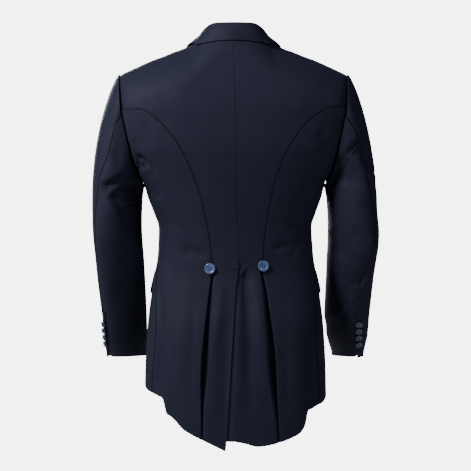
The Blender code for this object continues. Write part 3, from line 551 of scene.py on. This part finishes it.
side_seam_points = {}
for side, tag in SIDES:
    seam = BACK_SEAM[side]
    level = np.linspace(ARMPIT, -730, 90)
    side_seam_points[side] = body(side, read(SIDE_SEAM, "degrees", level), level)
    level = np.linspace(BACK_SEAM_TOP[side], ARMPIT, 50)
    hole = np.stack([*ring(arm_degrees(level, False), level), level], -1) * [side, 1, 1]

    def panel(f, level):
        d0 = degrees_at(read(seam, "out", level) + seam_gap(seam, level), level)
        return body(side, d0 + (under_arm(level, False) - d0) * f, level)

    def skirt(f, v):
        level = SKIRT_TOP - 280 * v
        for _ in range(4):
            edge = read(PLEAT[side], "out", level) + FOLD
            d0, d1 = degrees_at(edge, level), under_arm(level, False)
            turn = np.clip(-f, 0, 1) * math.pi
            x = edge - FOLD * np.sin(turn) + PLEAT_UNDER * np.maximum(-f - 1, 0)
            d = np.where(f < 0, degrees_at(x, level), d0 + (d1 - d0) * f)
            level = SKIRT_TOP + (hem(side, d, ring(d, level)[0]) - SKIRT_TOP) * v
        return body(side, d, level, -FOLD * (1 - np.cos(turn)))

    def side_relief(p, n):
        z = p[..., 2]
        seams = np.minimum(nearest(p, back_seam_points[side])[0], nearest(p, side_seam_points[side])[0])
        total = groove(seams)
        total += groove(nearest(p, hole)[0] + 50 * (z > BACK_SEAM_TOP[side]), 2.6, 5)
        edge = read(PLEAT[side], "out", z)
        hold = np.where(z > WAIST, 1, ease((p[..., 0] * side - edge - 3) / 12))
        hold = hold * ease(nearest(p, side_seam_points[side])[0] / 16)
        return total + folds(p, SIDE_FOLDS[side], side) * hold, seams

    main = marks(44)
    turned = [-2, -1.66, -1.33, -1.12, -1, -0.88, -0.75, -0.62, -0.5, -0.38, -0.25, -0.12]
    mid = patch(panel, main, [BACK_SEAM_TOP[side] - SEAM, *(BACK_SEAM_TOP[side] - JOIN_STEPS[1:]),
                              *LEVELS])
    low = patch(skirt, turned + list(main), SKIRT)
    under = tuple(a[:, :len(turned) + 1] for a in low)
    outer = tuple(a[:, len(turned):] for a in low)

    join, corner = BACK_SEAM_TOP[side], seam["out"][0]

    def shelf(f, v):
        """A strip across the top edge, from the seam's corner to past the armhole."""
        x = corner - 16 + (210 - corner + 28) * f
        return body(side, degrees_at(x, join + 8 - 16 * v), join + 8 - 16 * v)

    turnings = [turning(panel, [-0.08, -0.04, 0, 0.04, 0.08], [join - 4, *LEVELS[::4]]),
                turning(shelf, [0, 0.25, 0.5, 0.75, 1], np.linspace(0, 1, 5)),
                turning(panel, [0.93, 0.97, 1, 1.03, 1.07], [v for v in LEVELS[::4] if v < ARMPIT - 4]),
                turning(skirt, [0.95, 0.975, 1, 1.025, 1.05], np.linspace(0.01, 0.98, 50))]
    cloth(f"panel_side_{tag}", [mid, bridge(mid, outer), outer, under, *turnings], side_relief,
          f"side_back_{tag}")


# The fronts: hidden in the picture, so plain. Each runs from the shoulder to a hem that is cut away
# in a curve, the left one over the right, and is faced with the same cloth.
LAP = 15.0
OPENING = {"level": [-860, -330, -316, -300, -250, -50, -25, 0, 10],
           "x": [-15, -15, -10, -2, 10, 58, 71, 79, 80]}
FRONT_FOLDS = {
    LEFT: [(188, -262, 168, -240, 140, -230, 12, 14, -2.4), (186, -300, 160, -296, 124, -310, 12, 12, -2),
           (30, -396, 62, -408, 100, -398, 9, 10, -1.6), (24, -412, 58, -436, 104, -438, 9, 9, -1.2),
           (150, -560, 154, -620, 150, -690, 14, 14, -2.2), (112, -540, 116, -600, 108, -680, 16, 16, 1.2)],
    RIGHT: [(186, -250, 164, -236, 136, -238, 12, 13, -2.2), (188, -292, 150, -300, 118, -322, 12, 12, -1.8),
            (34, -392, 66, -402, 108, -386, 9, 10, -1.4), (40, -420, 72, -440, 112, -428, 9, 9, -1.4),
            (156, -570, 152, -630, 156, -700, 13, 15, -2), (104, -550, 110, -610, 100, -670, 16, 16, 1.2)],
}


def front_sink(side, x, level):
    """The right front lies under the left one where they lap."""
    if side == LEFT:
        return 0 * x
    return 2.9 * ease((LAP + 16 - x) / 12) * ease((-262 - level) / 20)


for side, tag in SIDES:
    level = np.linspace(-64, ARMPIT, 60)
    hole = np.stack([*ring(arm_degrees(level, True), level), level], -1) * [side, 1, 1]

    def front_top(f, v):
        x = 20 + 200 * f
        for _ in range(4):
            level = upright(side, x, v, True)[..., 2]
            x0 = read(OPENING, "x", level)
            x = x0 + (read(ARMHOLE_FRONT, "out", level) - SEAM / 2 - x0) * f
        return upright(side, x, v, True)

    def front_middle(f, level):
        d0, d1 = degrees_at(read(OPENING, "x", level), level, True), under_arm(level, True)
        d = d0 + (d1 - d0) * f
        return body(side, d, level, -front_sink(side, ring(d, level)[0], level))

    def front_skirt(f, v):
        level = SKIRT_TOP - 200 * v
        for _ in range(5):
            d0, d1 = degrees_at(-LAP, level, True), under_arm(level, True)
            d = d0 + (d1 - d0) * f
            x = ring(d, level)[0]
            level = SKIRT_TOP + (hem(side, d, x, True) - SKIRT_TOP) * v
        return body(side, d, level, -front_sink(side, x, level))

    def front_relief(p, n):
        x = p[..., 0] * side
        seams = nearest(p, side_seam_points[side])[0]
        total = groove(seams) + groove(nearest(p, hole)[0], 0.3, 2)
        return total + folds(p, FRONT_FOLDS[side], side) * ease((x - 26) / 20) * ease(seams / 16), seams

    across = sorted({*np.linspace(0, 0.2, 14), *np.linspace(0.2, 0.93, 32), 0.95, 0.965, 0.98, 0.99, 1})
    top = patch(front_top, across, np.linspace(0, 1, 50))
    mid = patch(front_middle, across, [*(BACK_SEAM_TOP[side] - JOIN_STEPS[1:]), *LEVELS])
    low = patch(front_skirt, across, SKIRT[::2].tolist() + [1])
    cloth(f"panel_front_{tag}", [top, bridge(top, mid), mid, bridge(mid, low), low], front_relief,
          f"front_{tag}")


# The sleeves: each is cut in two, a wide top sleeve and a narrow under sleeve, set into the armhole
# with a little fullness. At the cuff the top sleeve laps over the under sleeve as a buttoned vent.
SHOULDER_END, SLEEVE_JOIN, CUFF, FORE_SEAM = -62.0, -330.0, -643.5, 238.0
VENT_TOP, VENT_CUT, VENT_WIDTH = {LEFT: -548.0, RIGHT: -520.0}, {LEFT: 20, RIGHT: 8}, 11.0
SLEEVE_MIDDLE, SLEEVE_RADIUS = 236, 55  # from the centre line, and of the tube at its seams
TONGUE = 2.3  # how far the vent's upper side stands off, so that it clears the lower one
SLEEVE = {
    "level": [-660, -640, -605, -572, -523, -474, -441, -409, -376, -343, -330, -311],
    "outer": [266, 267.5, 272, 274, 278.5, 282.7, 285, 287.6, 289.5, 290, 290, 290],
    "inner": [186.4, 186.1, 185.2, 185, 185.6, 187, 188.3, 189.9, 190.7, 189.5, 188.5, 187],
    "middle": [-122, -112, -92, -74, -48, -24, -10, 0, 4, 4.5, 4, 3],
    "twist": [26, 26, 26, 26, 26, 26, 26, 25, 21, 14, 12, 8],
    "depth": [49, 50, 52, 54, 57, 60, 62, 64, 67, 70, 71, 72],
}
# The right sleeve bends a little more at the elbow and is drawn in at the cuff.
SLEEVE_RIGHT = {
    "level": [-640, -634, -613, -596, -577, -555, -480, -426, -396, -345],
    "outer": [0, 0, 1, 2, 2, 1, 0, 3, 3.5, 0],
    "inner": [17, 15.7, 9.7, 5.3, 4, 0, 0, -1, -1, 0],
}
HIND = {
    LEFT: {"level": [-660, -600, -540, -480, -420, -376, -309, -285, -261, -229, -202, -168, -152],
           "x": [265, 269.5, 272.6, 278.8, 282.5, 283.5, 276.5, 273.3, 267, 252.5, 244.5, 236.5, 226.5]},
    RIGHT: {"level": [-660, -626, -560, -535, -496, -467, -430, -405, -376, -342, -314, -280, -247,
                      -218, -193, -172, -154],
            "x": [257, 257.4, 257.6, 255.3, 252.7, 263.4, 277.5, 281, 282, 280, 276, 270.3, 265, 259.4, 251,
                  240, 226.8]},
}
# Behind: as seen. In front, where nothing is seen, the same kind of folds at the elbow and armpit.
SLEEVE_FOLDS = {
    LEFT: [(270, -166, 258, -170, 244, -168, 7, 12, -2.6), (276, -293, 243, -283, 202, -257, 6, 24, -11),
           (257, -322, 224, -302, 188, -281, 7, 110, -14), (207, -425, 226, -486, 254, -530, 12, 16, -2.6),
           (193, -514, 218, -571, 248, -617, 12, 12, -2.2), (268, -218, 260, -236, 262, -256, 8, 12, -1.6),
           (246, -214, 236, -236, 238, -256, 7, 9, -1.8), (278, -340, 262, -400, 256, -470, 30, 14, -2.6)],
    RIGHT: [(272, -196, 246, -206, 222, -234, 6, 90, -9), (226, -226, 208, -256, 198, -296, 8, 70, -8),
            (250, -250, 232, -290, 226, -340, 14, 22, -3.2), (196, -378, 206, -410, 222, -446, 9, 12, -4.4),
            (232, -380, 254, -390, 276, -412, 9, 16, -3.4), (284, -421, 254, -485, 214, -545, 16, 9, -5),
            (214, -548, 232, -553, 252, -552, 7, 12, -3.6), (203, -320, 236, -340, 276, -330, 10, 16, -2.4),
            (199, -445, 212, -502, 212, -558, 10, 10, -2.4)],
}
FRONT_SLEEVE_FOLDS = {
    LEFT: [(206, -250, 232, -236, 262, -244, 10, 12, -2.6), (196, -388, 226, -400, 262, -386, 12, 10, -3.2),
           (194, -432, 224, -424, 256, -440, 9, 12, -2.6), (200, -500, 226, -530, 250, -590, 12, 12, -1.8)],
    RIGHT: [(208, -240, 236, -248, 266, -232, 11, 12, -2.4), (194, -396, 222, -382, 260, -392, 11, 10, -3),
            (198, -448, 230, -436, 262, -446, 10, 11, -2.4), (204, -520, 222, -560, 246, -600, 12, 12, -1.8)],
}


def sleeve_end(side, turn, level):
    """A point of the plain tube: turn 0 is its back, 90 its outer side and -90 its inner side."""
    outer, inner = read(SLEEVE, "outer", level), read(SLEEVE, "inner", level)
    if side == RIGHT:
        outer = outer + read(SLEEVE_RIGHT, "outer", level)
        inner = inner + read(SLEEVE_RIGHT, "inner", level)
    a = np.radians(turn)
    x = (outer + inner) / 2 + (outer - inner) / 2 * np.sin(a)
    y = read(SLEEVE, "middle", level) + read(SLEEVE, "depth", level) * np.cos(
        a - np.radians(read(SLEEVE, "twist", level)))
    return np.stack([x, y, level + 0 * x], -1)


def sleeve_head(side, turn, share):
    """From the armhole at share 0 out over the shoulder and down to the plain tube at 1."""
    a = np.radians(turn)
    level = ARMPIT + 1.2 + (SHOULDER_END - ARMPIT - 1.2) * (1 + np.sin(a)) / 2
    front = np.cos(a) < 0
    x = read(ARMHOLE_BACK, "out", level) * ~front + read(ARMHOLE_FRONT, "out", level) * front
    edge = np.stack([*ring(degrees_at(x, level, front), level), level], -1)
    high = (1 + np.sin(a)) / 2
    start = edge + np.stack([0.9 + 0.4 * high, 1.2 * np.cos(a), 0.8 * high ** 3], -1)
    way = np.stack([0.25 + 0.5 * high, 0.2 * np.cos(a), 0.25 * high - 0.95 + 0.1 * high], -1)
    end = sleeve_end(side, turn, np.full_like(turn, SLEEVE_JOIN))
    lean = (10 + 9 * high)[..., None] * way
    rise = np.stack([0 * a, 0 * a, 10 + 135 * high ** 1.5], -1)
    t = share[..., None]
    return (start * (1 - t) ** 3 + (start + lean) * 3 * t * (1 - t) ** 2
            + (end + rise) * 3 * t * t * (1 - t) + end * t ** 3)


def sleeve(side, turn, down):
    """down runs 0 to 1 over the head and 1 to 2 from the join to the cuff."""
    head = sleeve_head(side, turn, np.clip(down, 0, 1))
    level = SLEEVE_JOIN + (CUFF - SLEEVE_JOIN) * np.clip(down - 1, -0.05, 1.05)
    return np.where(down[..., None] <= 1, head, sleeve_end(side, turn, level))


def hind(side, down):
    """The turn of the hind seam, found where the sleeve's back is as far out as the seam."""
    low, high = 0 * down, 80 + 0 * down
    for _ in range(24):
        mid = (low + high) / 2
        p = sleeve(side, mid, down)
        beyond = p[..., 0] > read(HIND[side], "x", p[..., 2])
        low, high = np.where(beyond, low, mid), np.where(beyond, mid, high)
    return mid


def standing(side, turn, down, out):
    """A sleeve point moved out along the tube's own normal."""
    n = np.cross(sleeve(side, turn + 1, down) - sleeve(side, turn - 1, down),
                 sleeve(side, turn, down + 0.004) - sleeve(side, turn, down - 0.004))
    n = n / np.linalg.norm(n, axis=-1, keepdims=True)
    n = n * np.sign((n * np.stack([np.sin(np.radians(turn)), np.cos(np.radians(turn)),
                                   0 * turn], -1)).sum(-1, keepdims=True))
    return (sleeve(side, turn, down) + n * np.asarray(out)[..., None]) * [side, 1, 1]


def tongue(side, down):
    """How much of the cuff's button tongue there is at this height."""
    level = SLEEVE_JOIN + (CUFF - SLEEVE_JOIN) * (down - 1)
    return ease((VENT_TOP[side] + 14 - level) / 12) * (down > 1)


for side, tag in SIDES:
    clear = SEAM / SLEEVE_RADIUS * 57.3
    away = lambda p: np.array([p[0] - side * SLEEVE_MIDDLE, p[1] - read(SLEEVE, "middle", p[2]), 0])
    start = 1 + (VENT_TOP[side] - SLEEVE_JOIN) / (CUFF - SLEEVE_JOIN)
    downs = [*np.linspace(0, 0.06, 7)[:-1], *np.linspace(0.06, 1, 72), *np.linspace(1, start, 52)[1:],
             *np.linspace(start, 2, 32)[1:]]
    line = np.array(downs)
    hind_points = standing(side, hind(side, line), line, 0 * line)
    fore_points = standing(side, FORE_SEAM - 360 + 0 * line, line, 0 * line)

    def top_sleeve(f, down):
        h = hind(side, down)
        turn = h + clear + (FORE_SEAM - h - 2 * clear) * f
        lift = TONGUE * ease((7 - (turn - h) * 0.96) / 5.5) * tongue(side, down)
        return standing(side, turn, down, lift)

    def vent_tongue(f, down):
        turn = hind(side, down) + clear - f * VENT_WIDTH * 1.04
        return standing(side, turn, down, TONGUE * tongue(side, down))

    def under_sleeve(f, down):
        corner = np.clip(1 - (1 - f) * 5.5, 0, 1) ** 2 * VENT_CUT[side] / 310
        down = down - corner * np.clip((down - start) / (2 - start), 0, 1)
        h = hind(side, down)
        turn = FORE_SEAM - 360 + clear + (h - 2 * clear - FORE_SEAM + 360) * f
        return standing(side, turn, down, 0 * turn)

    def sleeve_relief(p, n):
        z = p[..., 2]
        behind, before = ease(n[..., 1] * 2.5 + 0.4), ease(-n[..., 1] * 2.5 + 0.1)
        total = folds(p, SLEEVE_FOLDS[side], side) * behind
        total += folds(p, FRONT_SLEEVE_FOLDS[side], side) * before
        gap = nearest(p, hind_points)[0]
        total = total * np.where(z < VENT_TOP[side] + 25, ease((gap - 14) / 14), 1)
        seams = np.minimum(gap + 50 * ease((VENT_TOP[side] + 20 - z) / 15), nearest(p, fore_points)[0])
        return total + groove(seams), seams

    def turned_in(place, shares):
        """The turning that runs on from a sleeve head into the armhole, under the front's edge."""
        def strip(f, v):
            edge, inner = place(f, 0.004 + 0 * f), place(f, 0.05 + 0 * f)
            on = (edge - inner) / np.linalg.norm(edge - inner, axis=-1, keepdims=True)
            return edge + on * (15 * v - 9)[..., None]
        return turning(strip, shares, np.linspace(0, 1, 5), away)

    near = [0, 0.006, 0.013, 0.021, 0.03, 0.042]
    wrap = near + list(np.linspace(0.06, 0.975, 74)) + [0.985, 0.993, 1]
    top = patch(top_sleeve, wrap, downs, away)
    flap = patch(vent_tongue, np.linspace(1, 0, 7), downs[-32:], away)
    cloth(f"sleeve_top_{tag}", [top, flap, turned_in(top_sleeve, np.linspace(0.4, 1, 40))],
          sleeve_relief, f"top_sleeve_{tag}")
    under = patch(under_sleeve, marks(44), downs, away)
    cloth(f"sleeve_under_{tag}", [under, turned_in(under_sleeve, np.linspace(0, 0.5, 20))],
          sleeve_relief, f"under_sleeve_{tag}")


# The collar: stand and fall in one folded piece, padstitched and pressed so that the fall lies on
# the back with a soft roll at the top. The lapels carry it on down to the top button.
COLLAR = {
    "along": [0, 0.14, 0.27, 0.4, 0.5, 0.6, 0.72, 0.85, 1],
    "base_x": [0, 25, 40, 58, 71, 77.5, 73, 68, 55.5],
    "base_y": [68, 62, 56.5, 43.5, 26, 0, -33, -50, -74],
    "base_z": [11.1, 10.1, 8.3, 5.9, 3.7, 2.5, -6.5, -22.5, -44],
    "crest_x": [0, 25, 43, 57, 64.5, 70, 72, 66, 56],
    "crest_y": [64, 60, 50, 35, 20, 0, -26, -48, -75.5],
    "crest_z": [36, 36, 35, 27.5, 20.5, 13.5, 4, -13, -40],
    "edge_x": [0, 27.6, 46, 63, 74.5, 85.5, 96, 101, 93],
    "edge_y": [78, 73, 67.4, 57.3, 49.5, 24.4, -8.5, -38.6, -81],
    "edge_z": [1.2, 0.5, -1.4, -3.4, -5.4, 0.6, -3.2, -21.2, -65],
}
LAPEL = {
    "along": [0, 0.06, 0.2, 0.45, 0.75, 1],
    "roll_x": [57, 54.5, 46.5, 31, 15, 5],
    "roll_level": [-55, -66, -98, -164, -232, -274],
    "edge_x": [92, 112, 110, 92, 50, 7],
    "edge_level": [-83, -97, -124, -176, -238, -276],
}


def collar(f, along):
    """The folded collar: f 0 at the neck seam, 1 to 2 over the fold and 3 at the free edge."""
    out = np.abs(along)
    mirror = np.stack([np.sign(along) + (along == 0), 1 + 0 * out, 1 + 0 * out], -1)
    base, crest, edge = (np.stack([read(COLLAR, f"{part}_{axis}", out, "along", axis != "x")
                                   for axis in "xyz"], -1) for part in ("base", "crest", "edge"))
    away = crest * [1, 1, 0] + np.array([0, 8, 0])
    away = away / np.linalg.norm(away, axis=-1, keepdims=True)
    bend = (np.clip(f - 1, 0, 1) * math.pi)[..., None]
    fold = crest + FOLD * (np.array([0, 0, 1]) * np.sin(bend) - away * np.cos(bend))
    neck = base - away * WALL / 2
    stand, fall = np.clip(f, 0, 1)[..., None], np.clip(f - 2, 0, 1)[..., None]
    over = 2.5 * np.sin(fall * math.pi) * (away + np.array([0, 0, 0.4]))
    p = np.where(f[..., None] <= 1, neck + (fold - neck) * stand, fold + (edge - fold) * fall + over)
    return p * mirror


turned = [*np.linspace(0, 1, 8), *np.linspace(1, 2, 11)[1:], *np.linspace(2, 3, 16)[1:]]
cloth("collar_folded", [patch(collar, turned, np.linspace(-1, 1, 181))], None,
      "collar")

for side, tag in SIDES:
    def lapel(f, along):
        at = lambda name: read(LAPEL, name, along, "along")
        x = at("roll_x") + (at("edge_x") - at("roll_x")) * f
        level = at("roll_level") + (at("edge_level") - at("roll_level")) * f
        out = 2.3 + 3.5 * np.sin(math.pi * np.clip(f, 0, 1)) * (1 - 0.7 * along)
        return body(side, degrees_at(x, level, True), level, out)

    cloth(f"lapel_turned_{tag}", [patch(lapel, np.linspace(0, 1, 20), np.linspace(0, 1, 70))], None,
          f"lapel_{tag}")


# The pocket flaps: a doubled strip sewn over each hip pocket, with its two lower corners rounded.
# Only the hind corner is seen from behind.
FLAP = {"degrees": [97, 148], "top": -464, "bottom": -510, "corner": 9}
for side, tag in SIDES:
    def flap(f, v):
        first, last = FLAP["degrees"]
        end = np.minimum(f, 1 - f) * 150
        bottom = FLAP["bottom"] + FLAP["corner"] * (1 - np.clip(end / FLAP["corner"], 0, 1)) ** 2
        level = FLAP["top"] + (bottom - FLAP["top"]) * v
        return body(side, first + (last - first) * f, level, 2.7 + 2.8 * v)

    across = [0, 0.008, 0.016, 0.026, 0.04, *np.linspace(0.06, 0.94, 30), 0.96, 0.974, 0.984, 0.992, 1]
    cloth(f"pocket_flap_sewn_{tag}", [patch(flap, across, np.linspace(0, 1, 12))], None,
          f"pocket_flap_{tag}")


# The buttons: pressed and polished blue-black resin with a raised rim and four holes, each sewn on
# with two bars of thread. Two mark the waist, four close each cuff and three close the front.
WAIST_BUTTONS = {LEFT: (51, -458), RIGHT: (55.5, -452.5)}
FRONT_BUTTONS = [-332, -400, -468]
BIG_BUTTON = {"radius": [0, 6.0, 7.6, 8.2, 8.8, 9.4, 10.2, 10.7, 11, 11, 10.7, 9.4, 2.2, 2.2, 0],
              "height": [3.7, 3.8, 4.1, 4.6, 4.95, 5.05, 5.0, 4.7, 4.2, 2.8, 2.2, 1.7, 1.7, 0.3, 0.3]}
SMALL_BUTTON = {"radius": [0, 3.4, 4.5, 4.9, 5.3, 5.7, 6.2, 6.5, 6.7, 6.7, 6.5, 5.5, 1.6, 1.6, 0],
                "height": [2.8, 2.8, 3.0, 3.35, 3.65, 3.75, 3.7, 3.5, 3.1, 2.0, 1.6, 1.2, 1.2, 0.3, 0.3]}
SLEEVE_BUTTONS = {"first": -573, "pitch": 14, "count": 4}

# Polished resin: dark blue all through, with a clear highlight on the rim and a soft one in the dish.
# The cuffs' small ones use a darker copy of the same resin, which paints in the shade they lie in: nearly
# black in shade, blue where they catch light.
POLISH = {"Roughness": 0.3, "IOR": 1.5, "Coat Weight": 0.4, "Coat Roughness": 0.08}
SWIRL = {"Scale": 260.0, "Detail": 2.0, "Distortion": 1.5}
resin = dyed("polished_navy_resin", POLISH, "ShaderNodeTexNoise", SWIRL, "#3a4a78", "#566696")[0]
resin_painted_shade = dyed("polished_resin_painted_shade", POLISH, "ShaderNodeTexNoise", SWIRL, "#1b2546", "#2a3762")[0]
# Polyester sewing thread, waxed and twisted: a dull dark blue with slanting twists.
thread = dyed("navy_sewing_thread", {"Roughness": 0.7}, "ShaderNodeTexWave",
              {"Scale": 700.0, "Distortion": 2.0}, "#12172a", "#262d48")[0]


def button(name, replaced, shape, spot, normal, sides=48, moulded=resin):
    """A turned four-hole button on the cloth at spot, facing along normal, and its thread."""
    rim = [Vector((r, 0, h)) * 0.001 for r, h in zip(shape["radius"], shape["height"])]
    mesh = bpy.data.meshes.new(name)
    mesh.from_pydata(rim, [(k, k + 1) for k in range(len(rim) - 1)], [])
    turned = placed(name, mesh)
    screw = turned.modifiers.new("turn", "SCREW")
    screw.steps = screw.render_steps = sides
    screw.use_merge_vertices, screw.merge_threshold = True, 0.00001
    reach = shape["radius"][-4] * 0.00034
    holes = bmesh.new()
    for k in range(4):
        a = math.pi / 4 + k * math.pi / 2
        bmesh.ops.create_cone(holes, cap_ends=True, segments=14, radius1=0.0009, radius2=0.0009,
                              depth=0.02, matrix=Matrix.Translation((math.cos(a) * reach,
                                                                     math.sin(a) * reach, 0.01)))
    drill_mesh = bpy.data.meshes.new(name + "_drill")
    holes.to_mesh(drill_mesh)
    holes.free()
    drill = placed(name + "_drill", drill_mesh)
    cut = turned.modifiers.new("holes", "BOOLEAN")
    cut.object, cut.solver = drill, "EXACT"
    shape_mesh = bpy.data.meshes.new_from_object(turned.evaluated_get(
        bpy.context.evaluated_depsgraph_get()))
    for thing in (turned, drill):
        bpy.data.objects.remove(thing)
    made = bmesh.new()
    made.from_mesh(shape_mesh)
    bmesh.ops.remove_doubles(made, verts=made.verts, dist=1e-6)
    bmesh.ops.recalc_face_normals(made, faces=made.faces)
    for face in made.faces:
        face.material_index = 0
    top = shape["height"][0] * 0.001
    for across in (-1, 1):
        # One bar of thread from hole to hole, as a low arch of six-sided rings.
        rings = []
        for k in range(9):
            t = k / 8
            centre = Vector((reach * 0.707 * across, reach * 0.707 * (2 * t - 1),
                             top - 0.0012 + 0.00165 * math.sin(math.pi * t) ** 0.6))
            rings.append([made.verts.new(centre + Vector((math.cos(b) * 0.00055, 0,
                                                          math.sin(b) * 0.0004)))
                          for b in np.arange(6) * math.pi / 3])
        for a, b in zip(rings[:-1], rings[1:]):
            for k in range(6):
                made.faces.new([a[k], a[(k + 1) % 6], b[(k + 1) % 6], b[k]]).material_index = 1
        for end in (rings[0][::-1], rings[-1]):
            made.faces.new(end).material_index = 1
    bmesh.ops.recalc_face_normals(made, faces=made.faces)
    spot = np.array(spot) + read(LEAN, "x", spot[2]) * np.array([1, 0, 0])
    facing = Vector(normal).normalized().to_track_quat("Z", "Y").to_matrix().to_4x4()
    made.transform(Matrix.Translation(Vector(spot) * 0.001) @ facing)
    done = bpy.data.meshes.new(name)
    made.to_mesh(done)
    made.free()
    done.materials.append(moulded)
    done.materials.append(thread)
    done.shade_smooth()
    done.set_sharp_from_angle(angle=math.radians(40))
    piece = placed(name, done)
    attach(piece, "root")
    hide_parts(replaced)


def surface_way(place, *at):
    """A point of a surface and the way it faces, from three nearby points."""
    points, n, _ = patch(place, [at[0] - 0.01, at[0]], [at[1] - 0.01, at[1]])
    return points[1, 1], n[1, 1]


for side, tag in SIDES:
    out, level = WAIST_BUTTONS[side]
    where = degrees_at(np.array(float(out)), level)
    spot, n = surface_way(lambda f, v: body(side, f, v, 0.4), where, level)
    button(f"waist_button_sewn_{tag}", f"waist_button_{tag}", BIG_BUTTON, spot, n)
    for k in range(SLEEVE_BUTTONS["count"]):
        level = SLEEVE_BUTTONS["first"] - SLEEVE_BUTTONS["pitch"] * k
        down = np.array(1 + (level - SLEEVE_JOIN) / (CUFF - SLEEVE_JOIN))
        turn = hind(side, down) - 0.5 * VENT_WIDTH
        spot = standing(side, turn, down, TONGUE)
        n = standing(side, turn, down, TONGUE + 1) - spot
        # The cuff buttons take the darker resin copy, whose colour is painted shade.
        button(f"cuff_button_{tag}_{k + 1}", f"sleeve_button_{tag}_{k + 1}", SMALL_BUTTON, spot, n, 32,
               resin_painted_shade)

for k, level in enumerate(FRONT_BUTTONS):
    spot = body(LEFT, np.array(180.0), np.array(float(level)), 0.5)
    n = body(LEFT, np.array(180.0), np.array(float(level)), 1.5) - spot
    button(f"front_button_sewn_{k + 1}", f"front_button_{k + 1}", BIG_BUTTON, spot, n)


# The setting: a pale matt floor where the wearer's feet would be, a pale even surround, and soft
# lamps: the main one high on the viewer's left, as the picture's shading shows, a weak one on the
# right, one that draws the left edge, and one for the front, which the picture does not show.
paper = dyed("pale_matt_paper", {"Roughness": 0.9}, "ShaderNodeTexNoise", {"Scale": 3.0},
             "#e6e8e8", "#eceeee")[0]
SEEN, AMBIENT = 6.3, 0.02  # how bright the surround is to the eye, and as light on the coat
disc = bmesh.new()
bmesh.ops.create_circle(disc, cap_ends=True, segments=96, radius=3.9,
                        matrix=Matrix.Translation((0, 0, -1.45)))
disc_mesh = bpy.data.meshes.new("floor")
disc.to_mesh(disc_mesh)
disc.free()
disc_mesh.materials.append(paper)
placed("floor", disc_mesh)

surround = bpy.data.worlds.new("surround")
surround.use_nodes = True
air = surround.node_tree
ray = node(air, "ShaderNodeLightPath")
wall = node(air, "ShaderNodeBackground", values={"Color": linear("#f6f8f7"), "Strength": SEEN})
glow = node(air, "ShaderNodeBackground", values={"Color": linear("#dfe6f4"), "Strength": AMBIENT})
both = node(air, "ShaderNodeMixShader", links=[("Fac", ray, "Is Camera Ray"), (1, glow, "Background"),
                                               (2, wall, "Background")])
air.links.new(both.outputs["Shader"], air.nodes["World Output"].inputs["Surface"])
bpy.context.scene.world = surround

LAMPS = {
    "name": ["key", "fill", "edge", "front"],
    "x": [1.35, -1.4, 2.2, 0.9],
    "y": [1.05, 1.3, 0.2, -2.4],
    "z": [0.9, 0.8, 0.0, 0.3],
    "size": [0.6, 1.0, 0.8, 1.2],
    "watts": [60, 13, 9, 70],
}
for name, x, y, z, size, watts in zip(*LAMPS.values()):
    lamp = bpy.data.lights.new(name, "AREA")
    lamp.shape, lamp.size, lamp.energy = "DISK", size, watts
    holder = placed(name, lamp)
    holder.location = (x, y, z)
    holder.rotation_euler = (Vector((0, 0, -0.35)) - holder.location).to_track_quat("-Z", "Y").to_euler()

view = bpy.data.cameras.new("camera")
view.sensor_width = 36.0
view.lens = 36.0 * 4.0 / 0.9627
camera = placed("camera", view)
camera.location = (0, 4.0, -0.3914)
camera.rotation_euler = (math.pi / 2, 0, math.pi)
bpy.context.scene.camera = camera
